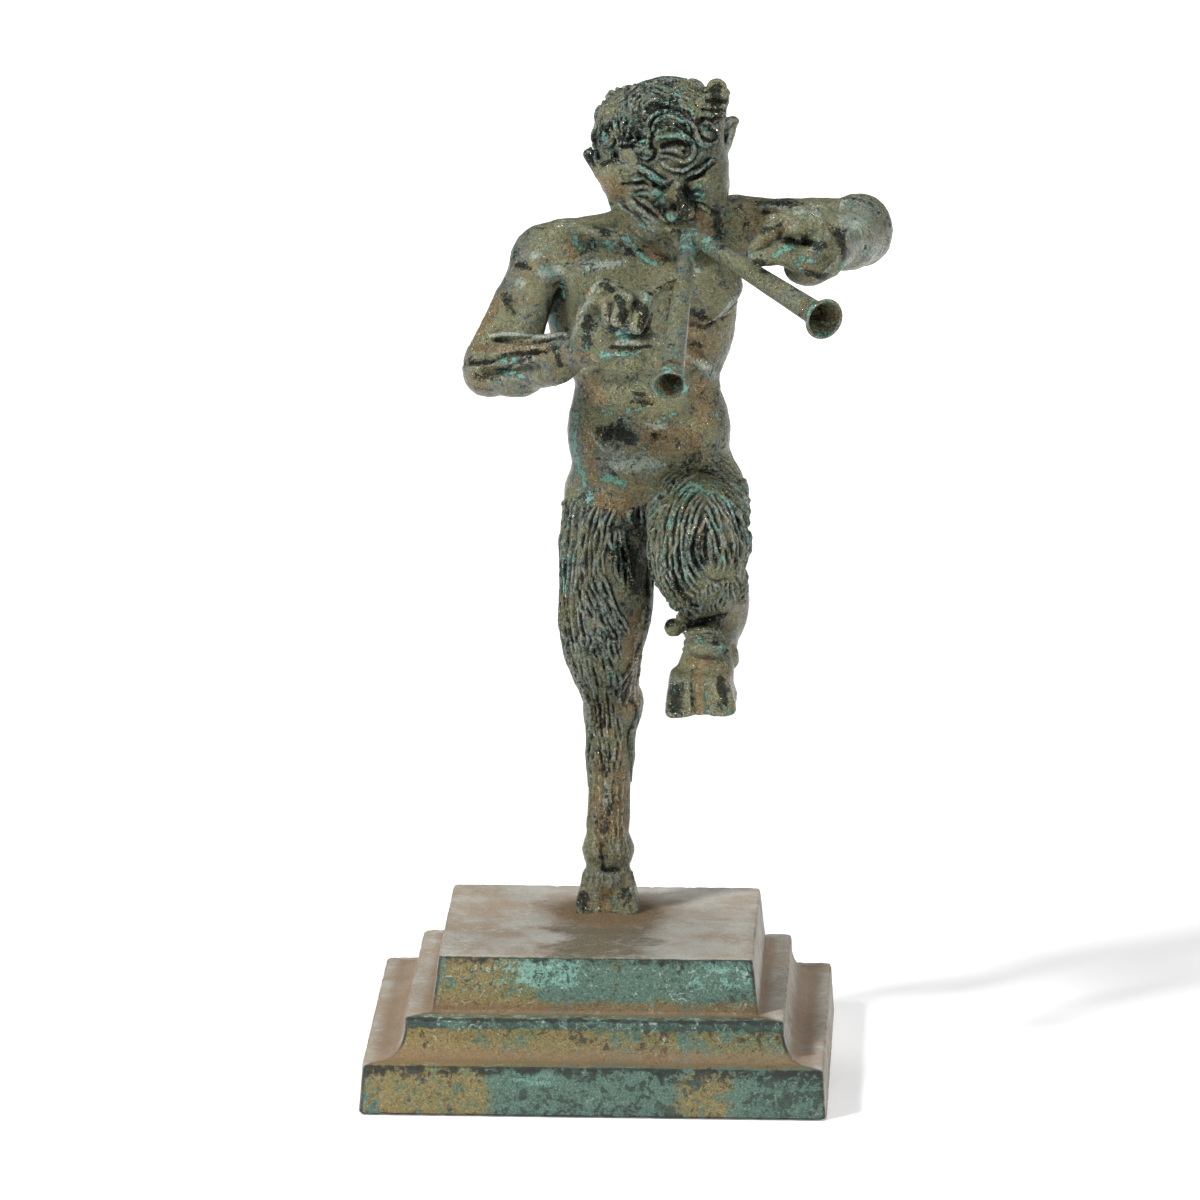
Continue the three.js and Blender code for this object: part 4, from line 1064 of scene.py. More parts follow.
@dataclass
class Comb:
    """Combs locks over the clay: how long and thick they are and how much they vary."""

    length: float
    radius: float
    steps: int = 7
    rise: float = 0.3
    blend: float = 0.35
    ragged: float = 0.25

    def locks(
        self, clay: Clay, starts: np.ndarray, flow: Flow, curl: np.ndarray | float = 0, seed: int = 1
    ) -> list[Lock]:
        """Follow a flow over the surface from each start.

        Args:
            clay: What the locks lie on.
            starts: Surface points.
            flow: Gives a direction for each point.
            curl: How far a lock turns about the surface at each step, in degrees.
            seed: Seed of the variation.

        Returns:
            One lock for each start, root first.
        """
        rng = np.random.default_rng(seed)
        count = len(starts)
        lengths = self.length * (1 + self.ragged * rng.uniform(-1, 1, count))
        radii = self.radius * (1 + 0.7 * self.ragged * rng.uniform(-1, 1, count))
        stride = lengths / self.steps
        path = [starts]
        alive = np.ones(count, bool)
        ends = np.zeros(count, int)
        heading = flow(starts)
        turn = np.radians(np.broadcast_to(curl, count))
        for _ in range(self.steps):
            here = path[-1]
            out = clay.slope(here)
            if not np.any(curl):
                heading = flow(here)
            heading = heading - (heading * out).sum(1, keepdims=True) * out
            heading /= np.maximum(np.linalg.norm(heading, axis=1, keepdims=True), 1e-9)
            side = np.cross(out, heading)
            heading = heading * np.cos(turn)[:, None] + side * np.sin(turn)[:, None]
            there = clay.surface(here + heading * stride[:, None])
            alive &= np.linalg.norm(there - here, axis=1) < 1.6 * stride
            ends[alive] += 1
            path.append(np.where(alive[:, None], there, here))
        points = np.stack(path, 1)
        raised = points + np.stack([clay.slope(p) for p in path], 1) * (radii * self.rise)[:, None, None]
        made = []
        for n in range(count):
            if ends[n] < 2:
                continue
            share = np.linspace(0, 1, ends[n] + 1)
            fullness = 0.25 + 0.75 * np.sin(math.pi * (0.12 + 0.84 * share) ** 0.8)
            made.append(Lock(raised[n, : ends[n] + 1], radii[n] * fullness, radii[n] * self.blend))
        return made


def along(path: np.ndarray, share: float) -> tuple[np.ndarray, np.ndarray]:
    """Follow a bent path.

    Args:
        path: The bends of the path.
        share: How far along it, from 0 to 1.

    Returns:
        The point there and the unit direction there.
    """
    spans = np.linalg.norm(np.diff(path, axis=0), axis=1)
    reach = np.concatenate([[0], np.cumsum(spans)])
    at = np.array([np.interp(share * reach[-1], reach, path[:, n]) for n in range(3)])
    ahead = np.array([np.interp(min(share + 0.04, 1) * reach[-1], reach, path[:, n]) for n in range(3)])
    behind = np.array([np.interp(max(share - 0.04, 0) * reach[-1], reach, path[:, n]) for n in range(3)])
    way = ahead - behind
    return at, way / np.linalg.norm(way)


@dataclass
class LegFur:
    """The fur of the standing leg: rings of locks round its bone."""

    bone: tuple[Point, ...] = ((0.6, 7, 110), (0.6, 3, 90), (0.3, 3, 83), (1.6, 10.6, 72), (1.2, 11, 60))
    rings: int = 15
    around: int = 34
    hidden: float = 0.3  # fur is combed where the surface faces the camera less than this
    comb: Comb = field(default_factory=lambda: Comb(13, 0.55))

    def press(self, clay: Clay) -> None:
        """Comb the fur and press it onto the clay.

        Args:
            clay: The bare clay.
        """
        path = np.array(self.bone)
        locks: list[Lock] = []
        for ring in range(self.rings):
            share = 0.9 * ring / (self.rings - 1)
            centre, down = along(path, share)
            side = np.array([1.0, 0, 0]) - down * down[0]
            side /= np.linalg.norm(side)
            front = np.cross(down, side)
            angles = (np.arange(self.around) + (ring % 2) / 2) / self.around * 2 * math.pi
            ways = np.cos(angles)[:, None] * side + np.sin(angles)[:, None] * front
            starts = clay.outward(centre, ways)
            hidden = clay.slope(starts) @ SIGHT.back < self.hidden
            starts = starts[hidden]
            phase = np.arange(self.around)[hidden] * 2.3

            def flow(p: np.ndarray) -> np.ndarray:
                """Return the way down the bone at each point, with a sway."""
                sway = 0.2 * np.sin(p[:, 2] * 0.5 + phase)
                return down + np.cross(np.broadcast_to(down, p.shape), clay.slope(p)) * sway[:, None]

            locks += self.comb.locks(clay, starts, flow, seed=10 + ring)
        clay.model(locks)


@dataclass
class KneeFur:
    """The fur of the raised leg: it parts above the knee, runs round it and meets again below."""

    bone: tuple[Point, ...] = ((17, 6, 111), (18.8, -12, 106.4))
    rings: int = 10
    around: int = 36
    part: Point = (17.4, -13, 117)
    meet: Point = (19.2, -21, 97.2)
    thickest: float = 12.5
    top: float = 116.5
    hidden: float = 0.35
    comb: Comb = field(default_factory=lambda: Comb(9, 0.55))

    def flow(self, points: np.ndarray) -> np.ndarray:
        """Point from the parting to the meeting point.

        Args:
            points: Places on the fur.

        Returns:
            The way that a lock runs at each.
        """
        away = points - np.asarray(self.part)
        home = np.asarray(self.meet) - points
        away /= np.maximum((away**2).sum(1, keepdims=True), 1)
        home /= np.maximum((home**2).sum(1, keepdims=True), 1)
        return away + home

    def press(self, clay: Clay) -> None:
        """Comb the fur and press it onto the clay.

        Args:
            clay: The bare clay.
        """
        starts = []
        for ring in range(self.rings):
            centre, way = along(np.array(self.bone, float), ring / (self.rings - 1))
            side = np.array([1.0, 0, 0]) - way * way[0]
            side /= np.linalg.norm(side)
            up = np.cross(side, way)
            angles = (np.arange(self.around) + (ring % 2) / 2) / self.around * 2 * math.pi
            ways = np.cos(angles)[:, None] * side + np.sin(angles)[:, None] * up
            found = clay.outward(centre, ways)
            near = np.linalg.norm(found - centre, axis=1) < self.thickest
            low = found[:, 2] < self.top
            hidden = clay.slope(found) @ SIGHT.back < self.hidden
            starts.append(found[near & low & hidden])
        clay.model(self.comb.locks(clay, np.concatenate(starts), self.flow, seed=6))


@dataclass
class Hair:
    """The hair: strands combed from a parting near the right horn, and curls over the brow."""

    crown: Point = (0, 4, 4)
    parting: Point = (-5, 2, 13)
    hidden: float = 0.42
    rows: tuple[float, ...] = (8, 20, 32, 44, 56, 68, 80, 92, 104)
    around: tuple[int, ...] = (6, 13, 20, 26, 30, 34, 36, 36, 34)
    comb: Comb = field(default_factory=lambda: Comb(6.5, 0.62))

    def press(self, clay: Clay) -> None:
        """Comb the hair and press it onto the clay.

        Args:
            clay: The bare clay.
        """
        inner = HEAD.place(self.crown)
        parting = HEAD.place(self.parting)
        locks: list[Lock] = []
        for row, (fall, count) in enumerate(zip(self.rows, self.around)):
            turn = (np.arange(count) + (row % 2) / 2) / count * 2 * math.pi
            polar = math.radians(fall)
            out, up = math.sin(polar), math.cos(polar)
            ways = np.stack([np.sin(turn) * out, -np.cos(turn) * out, np.full(count, up)], 1)
            ways = ways[~((np.cos(turn) > 0.1) & (fall > 70))]
            starts = clay.outward(inner, ways @ HEAD.turn.T)
            starts = starts[clay.slope(starts) @ SIGHT.back < self.hidden]
            curl = np.where(np.arange(len(starts)) % 2, 7.0, -7.0)
            locks += self.comb.locks(clay, starts, lambda p: p - parting, curl, seed=30 + row)
        clay.model(locks)


@dataclass
class Drawing:
    """Strokes as the camera sees them; its fields are drawn in the order in which they stand."""

    def press(self, clay: Clay, seed: int) -> None:
        """Draw every field on the clay, the first with the given seed and each other with the next."""
        for n, group in enumerate(fields(self)):
            draw(clay, getattr(self, group.name), seed + n)


@dataclass
class HairStrokes(Drawing):
    """The hair over the brow: strands, a lens-shaped lock and curls."""

    strands: tuple[Sheaf, ...] = (
        Sheaf(((675, 79, 13, 4, 10, 9, 6, 12, 3, 14), (662, 80, 12, 6, 14, 9, 9, 12, 5, 13), (648, 83, 14, 9,
            14, 8, 12, 11, 8, 15), (634, 92, 16, 8, 14, 6, 14, 7, 12, 17)), 15, 0.33, 1, 0.5, 0.6),
        Sheaf(((646, 84, -12, 10, -4, 12, 4, 14), (654, 99, -6, 6, -3, 7, 5, 7)), 5, 0.36, 1, 0.6, 0.5),
        Sheaf(((598, 118, -3, 12, -3, 10, -1, 10), (612, 120, -4, 10, -3, 8, -2, 12)), 4, 0.3, 2, 0.8, 0.3),
        Sheaf(((612, 102, 10, -8, 12, -7, 12, -5), (618, 112, 10, -8, 10, -8, 14, -8)), 5, 0.3, 2, 0.8, 0.35),
        Sheaf(((613, 118, 3, 14, 4, 10, -3, 8), (624, 112, 1, 10, 2, 14, 3, 12)), 4, 0.34, 1, 0.8, 0.45),
        Sheaf(((690, 79, 10, 5, 7, 8), (700, 96, 5, 8, 2, 10)), 4, 0.35, 1, 0.4, 0.6),
    )
    lumps: tuple[Stroke, ...] = strokes(
        (1.35, 0.35, 632, 131, 6, -1, 5, 4), (1.15, 0.3, 640, 148, 6, 0, 2, 5), (1.1, 0.3, 605, 133, 3, 6),
        blunt=0.9,
    ) + strokes(
        (1.3, 0.1, 655, 131, 9, -7, 10, 1, 10, 7),
    ) + strokes(
        (1.2, 0.4, 703, 130, 5, 6, 4, -4),
        blunt=0.9,
    )
    curls: tuple[Stroke, ...] = strokes(
        (0.42, 0.35, 601, 131, 5, -4, 5, 4, 0, 8, -4, 6, -5, -3, 1, -6, 4, -1),
        (0.45, 0.35, 629, 137, 0, -8, 6, -6, 8, 0, 4, 7, -2, 7, -6, 2, -4, -5, 3, -4),
        (0.42, 0.35, 637, 145, 6, -3, 7, 2, 2, 7, -4, 6, -6, -1, -1, -6, 5, -1),
        (0.4, 0.6, 631, 142, 4, -1, 5, -1, 7, -3),
        (0.55, 0.5, 649, 131, 1, -10, 8, -7, 10, -1, 11, 4, 9, 7, 7, 8, 5, 10, 7, 4),
        (0.36, 1.4, 653, 131, 5, -8, 9, -4, 10, 2, 8, 7, 4, 6), (0.3, 1.8, 655, 133, 8, -7, 9, -1, 9, 4, 5, 5),
        (0.42, 1, 655, 135, 10, -2, 7, 0, 8, 3),
        (0.55, 0.6, 652, 150, 3, -7, 7, -5, 10, -2, 10, 1, 8, 6, 3, 8, -4, 7, -8, 3, -9, -2),
        (0.36, 0.5, 658, 158, 7, -2, 7, 2, 9, 3), (0.5, 0.5, 658, 152, 8, -2, 9, 1, 8, 4),
        (0.45, 0.8, 656, 139, 10, -1, 10, 0, 9, 4), (0.4, 0.9, 657, 129, 9, -2, 10, 1, 8, 4),
        (0.45, 0.35, 660, 162, 8, 5, 10, 3, 8, -3, 7, -6, 5, -6, 5, -4),
        (0.6, 0.35, 701, 139, 6, 5, 7, -3, 3, -8, -6, -6), (0.5, 0.35, 702, 128, 6, -4, 6, 3),
        (0.4, 0.35, 692, 136, 5, 7, 6, 4, 4, 0), (0.4, 0.35, 613, 149, 3, 7, 6, 4, 5, 1),
    )
    hollows: tuple[Stroke, ...] = strokes(
        (0.6, 0.1, 660, 147, 10, -3, 11, 0, 6, 5), (0.35, 0.1, 614, 152, 4, 7, 5, 5, 6, 3),
        (0.45, 0.1, 656, 147, -3, 8, -5, 6), (0.3, 1.2, 654, 127, 9, -5, 9, 1, 8, 4),
        cuts=True,
    ) + strokes(
        (0.32, 0, 704, 102, 10, -2, 13, 2), (0.32, 0, 703, 109, 11, 2, 12, -2),
        (0.36, 0, 702, 119, 10, 1, 13, -3), (0.25, 0, 706, 93, 10, -2, 10, 3),
        cuts=True, blunt=0.9,
    ) + strokes(
        (0.4, 0, 703, 137, 5, 5, 6, -3), (0.5, 0.1, 636, 133, 4, 3, -3, 3), (0.4, 0.1, 652, 139, -1, 7, -5, 4),
        (0.35, 0, 603, 126, -2, 10, 2, 10), (0.35, 0, 618, 147, 12, -1, 10, 1),
        cuts=True,
    )


@dataclass
class FaceStrokes(Drawing):
    """The face's ridges and folds."""

    ridges: tuple[Stroke, ...] = strokes(
        (0.7, 0.5, 638, 166, 7, 3, 6, 3, 5, 5, 6, 4, 7, 1), (0.45, 0.5, 640, 168, 8, 5, 7, 7, 8, 4),
        (0.6, 0.5, 713, 159, -7, 5, -6, 5, -9, 3, -6, 3), (0.42, 0.35, 632, 181, 8, -3, 8, 0, 6, 4),
        (0.42, 0.35, 635, 188, 8, -2, 8, 3), (0.4, 0.35, 637, 195, 8, -2, 7, 2),
        (0.42, 0.35, 690, 187, 8, -2, 8, 3), (0.36, 0.35, 691, 194, 7, -1, 7, 2),
        (0.6, 0.35, 631, 200, 8, 7, 8, 7, 8, 6), (0.5, 0.35, 637, 197, 9, 5, 9, 7, 6, 7),
        (0.42, 0.5, 657, 212, 6, 7, 9, 3, 10, 0), (0.5, 0.35, 697, 203, 6, 3, 5, 5),
        (0.36, 0.4, 620, 206, 9, 5, 9, 8, 10, 8, 6, 6), (0.3, 0.4, 705, 236, 7, -8, 7, -8),
        (0.35, 0.3, 604, 206, -8, -16, -6, -16), (0.3, 0.5, 611, 150, 2, 8, 8, 7),
        (0.4, 0.3, 619, 170, 9, 3, 8, -1), (0.35, 0.4, 627, 192, 7, 2, 8, 5), (0.35, 0.4, 694, 199, 6, 0, 6, 4),
    )
    folds: tuple[Stroke, ...] = strokes(
        (0.45, 0, 646, 178, 8, 6, 8, 4, 9, 0), (0.45, 0, 708, 168, -8, 7, -10, 5),
        (0.3, 0.2, 659, 200, 1, 9, -2, 8), (0.3, 0.2, 622, 168, 2, 12, 5, 10),
        (0.3, 0.1, 632, 184, 9, -2, 9, 3), (0.4, 0.1, 630, 224, 7, 6, 8, 7),
        (0.4, 0, 593, 172, 6, 14, 7, 13, 7, 7), (0.35, 0, 600, 168, 7, -5, 7, -2),
        (0.35, 0, 622, 184, 11, 0, 12, -4), (0.35, 0, 617, 201, 13, 10, 15, 13, 10, 9),
        (0.3, 0, 708, 207, 8, 5, 6, -4), (0.3, 0, 720, 222, -4, 9, -8, 7),
        cuts=True,
    )


@dataclass
class SkinStrokes(Drawing):
    """The folds and ridges of the arms, the hands, the chest and the belly."""

    ridges: tuple[Stroke, ...] = strokes(
        (0.6, 0, 488, 338, 17, -3, 15, 1, 25, 2, 15, -3, 13, -4), (0.5, 0.4, 574, 338, 9, -26, 10, -21, 8, -10),
        (0.5, 0.25, 808, 205, 12, 4, 16, 5), (0.35, 0.3, 847, 199, -6, 8, -1, 6),
        (0.45, 0.4, 841, 252, -9, 12, -16, 15), (0.6, 0.3, 765, 207, 10, -2, 10, 1),
        (0.4, 0.2, 689, 329, 13, -7, 16, -5, 12, -8, 8, -8), (0.35, 0.4, 622, 236, 8, 9, 11, 11, 15, 12),
        (0.5, 0, 600, 357, 15, -4, 17, 1, 13, 4), (0.8, 0, 505, 368, 15, -6, 15, -4, 13, 2),
    )
    folds: tuple[Stroke, ...] = strokes(
        (0.45, 0, 496, 341, 19, 2, 17, 0, 16, -2, 12, -3), (0.6, 0, 463, 364, 22, -3, 17, -4, 18, -3, 28, -3),
        (0.4, 0, 490, 374, 15, -3, 10, -6, 13, -6), (0.6, 0.2, 612, 347, 18, 2, 22, -3),
        (0.7, 0.1, 759, 213, 11, -2, 12, 2), (0.9, 0.2, 786, 241, 14, 2, 12, -1),
        (0.35, 0, 793, 215, -7, 12, -9, 13, -9, 10), (0.5, 0, 689, 323, 13, 4, 12, -5, 14, -7),
        (0.5, 0, 596, 460, 10, 18, 16, 12), (0.4, 0, 700, 380, 6, -8, 10, -4),
        (0.4, 0, 559, 288, -7, 16, -5, 18), (0.4, 0, 741, 276, -5, -4, -6, -2),
        cuts=True,
    )


@dataclass
class FurStrokes(Drawing):
    """The fur of the thighs, knees and shanks."""

    standing: tuple[Sheaf | Stroke, ...] = (
        Sheaf(((569, 488, -7, 42, -3, 40, -1, 42, 4, 28, 7, 28, 11, 32), (577, 496, -6, 39, -4, 40, -1, 37, 4,
            28, 7, 28, 10, 32), (590, 503, -6, 32, -5, 35, -2, 30, 4, 30, 6, 30, 9, 35)), 6, 0.4, 4),
        Sheaf(((590, 503, -6, 27, -3, 25, -1, 27), (602, 505, -6, 25, -3, 22, 0, 28), (616, 508, -8, 22, -4,
            22, 0, 22)), 6, 0.4, 2),
        Sheaf(((579, 578, 1, 22, 5, 22, 9, 26), (590, 576, 5, 22, 9, 22, 10, 24), (602, 573, 7, 21, 9, 17, 9,
            23)), 8, 0.46, 3, 1.4, 0.6),
        Sheaf(((571, 640, 4, 20, 8, 25, 7, 23), (583, 632, 7, 23, 7, 25, 5, 24), (598, 645, 6, 17, 5, 20, 3,
            23), (614, 650, 3, 20, 2, 20, 1, 22)), 11, 0.4, 3, 1.2),
        Sheaf(((588, 700, 5, 20, 4, 22, 1, 26), (604, 698, 2, 27, 3, 25, 2, 28), (618, 702, 2, 23, 1, 20, 1,
            23)), 8, 0.34, 2),
        Sheaf(((609, 532, 3, 20, 4, 18, 6, 22), (622, 530, 3, 18, 3, 17, 4, 20)), 4, 0.45, 2, 1.5, 0.6),
        Sheaf(((645, 600, -7, 25, -5, 25, -3, 35), (650, 592, -4, 28, -5, 30, -3, 35)), 2, 0.3, 2),
        Stroke((632, 508, -3, 8, 3, 8), 0.55), Stroke((637, 507, -2, 9, 3, 10), 0.55),
        Stroke((642, 509, 1, 8, -2, 9), 0.5), Stroke((634, 514, 5, 5, -3, 6), 0.45),
        Sheaf(((592, 742, -2, 43, -1, 40, 2, 25), (606, 742, 0, 43, 0, 40, 1, 27), (620, 742, 1, 43, 1, 40, 2,
            25)), 7, 0.26, 3, 0.8, 0.35),
        Sheaf(((590, 836, -3, 14, 5, 14), (622, 834, 5, 14, -2, 16)), 6, 0.3, 1, 0.8, 0.3),
        Sheaf(((585, 868, -3, 12, -4, 10), (603, 870, 0, 10, -1, 10), (628, 868, 6, 12, 2, 10)), 9, 0.3, 1,
            0.5, 0.4),
        Sheaf(((579, 600, 4, 40, 7, 30), (612, 600, 6, 32, 4, 28)), 8, 0.3, 4, 1.6, 0.7),
    )
    raised: tuple[Sheaf | Stroke, ...] = (
        Sheaf(((664, 498, -10, 27, -4, 23, 3, 22, 9, 20, 11, 16), (680, 487, -12, 23, -7, 30, 1, 28, 9, 24, 12,
            17), (700, 483, -17, 17, -10, 30, -2, 32, 8, 28, 13, 17)), 6, 0.46, 2, 1, 0.6),
        Sheaf(((702, 486, -16, 16, -8, 28, -1, 30, 8, 25, 13, 16), (704, 492, -12, 18, -6, 23, -1, 25, 6, 20,
            11, 15), (705, 502, -8, 16, -5, 17, -2, 20, 5, 15, 8, 11)), 4, 0.42, 2, 0.8, 0.6),
        Sheaf(((708, 482, 18, 7, 15, 16, 8, 25, -1, 22, -6, 14), (707, 486, 14, 10, 12, 18, 6, 21, 1, 18, -4,
            17), (706, 492, 10, 12, 10, 18, 5, 18, 2, 16, -3, 17)), 6, 0.4, 2, 0.8, 0.55),
        Sheaf(((706, 497, 8, 15, 7, 18, 4, 15, 3, 15, 0, 14), (705, 515, 4, 14, 5, 14, 3, 12, 1, 9, -1, 9)), 3,
            0.42, 2, 0.8, 0.6),
        Sheaf(((672, 474, -10, 12, -6, 14, -6, 20), (700, 474, -16, 10, -12, 12, -10, 16)), 5, 0.38, 1),
        Sheaf(((702, 468, 16, 5, 16, 11, 12, 16, 6, 16), (708, 480, 14, 6, 13, 11, 10, 15, 4, 18)), 5, 0.38, 2),
        Stroke((705, 520, -6, 15, -2, 15, 3, 12, 6, 9), 0.5, 0.6), Stroke((703, 533, -2, 14, 3, 15), 0.42, 0.5),
        Stroke((708, 533, 1, 14, 1, 13, 2, 8), 0.42, 0.5),
        Sheaf(((668, 598, 4, 8, 4, 7, 4, 6), (685, 600, 2, 8, 3, 6, 3, 6), (702, 588, -2, 10, -1, 8, 1, 9),
            (712, 580, 0, 12, 0, 10, 1, 11), (726, 578, 0, 14, -2, 10, -2, 10)), 14, 0.42, 1, 0.8, 0.6),
        Sheaf(((736, 572, 6, 16, 4, 14), (728, 576, 4, 16, 3, 15)), 3, 0.35, 1),
        Sheaf(((702, 628, 10, 12, 4, 12), (714, 626, 8, 10, 5, 12)), 4, 0.25, 1),
        Sheaf(((713, 452, 16, 14, 14, 18, 8, 22), (702, 460, 15, 13, 16, 17, 12, 24)), 7, 0.34, 1, 0.8, 0.35),
        Sheaf(((676, 640, 14, -6, 16, -2, 16, 4), (684, 654, 12, -6, 16, -2, 18, 6)), 4, 0.3, 2, 0.8, 0.3),
    )
    folds: tuple[Stroke, ...] = strokes(
        (0.7, 0.1, 678, 622, 12, 3, 13, -4, 13, -4, 11, -3), (0.5, 0.1, 601, 840, 1, 15, 2, 13),
        (0.6, 0.1, 600, 869, 9, 2, 9, -2), (0.4, 0.1, 704, 575, 10, 5, 12, -2),
        cuts=True,
    )


class Mask(Enum):
    """Names of the attributes that a finish reads from the mesh."""

    HOLLOW = "hollow"
    HOLLOW_WIDE = "hollow_wide"
    HAIRY = "hairy"
    GREEN = "green"
    # dark patina, and painted shade under and between forms
    DARK = "dark"
    # pale dust, and painted highlights
    PALE = "pale"
    WARM = "warm"
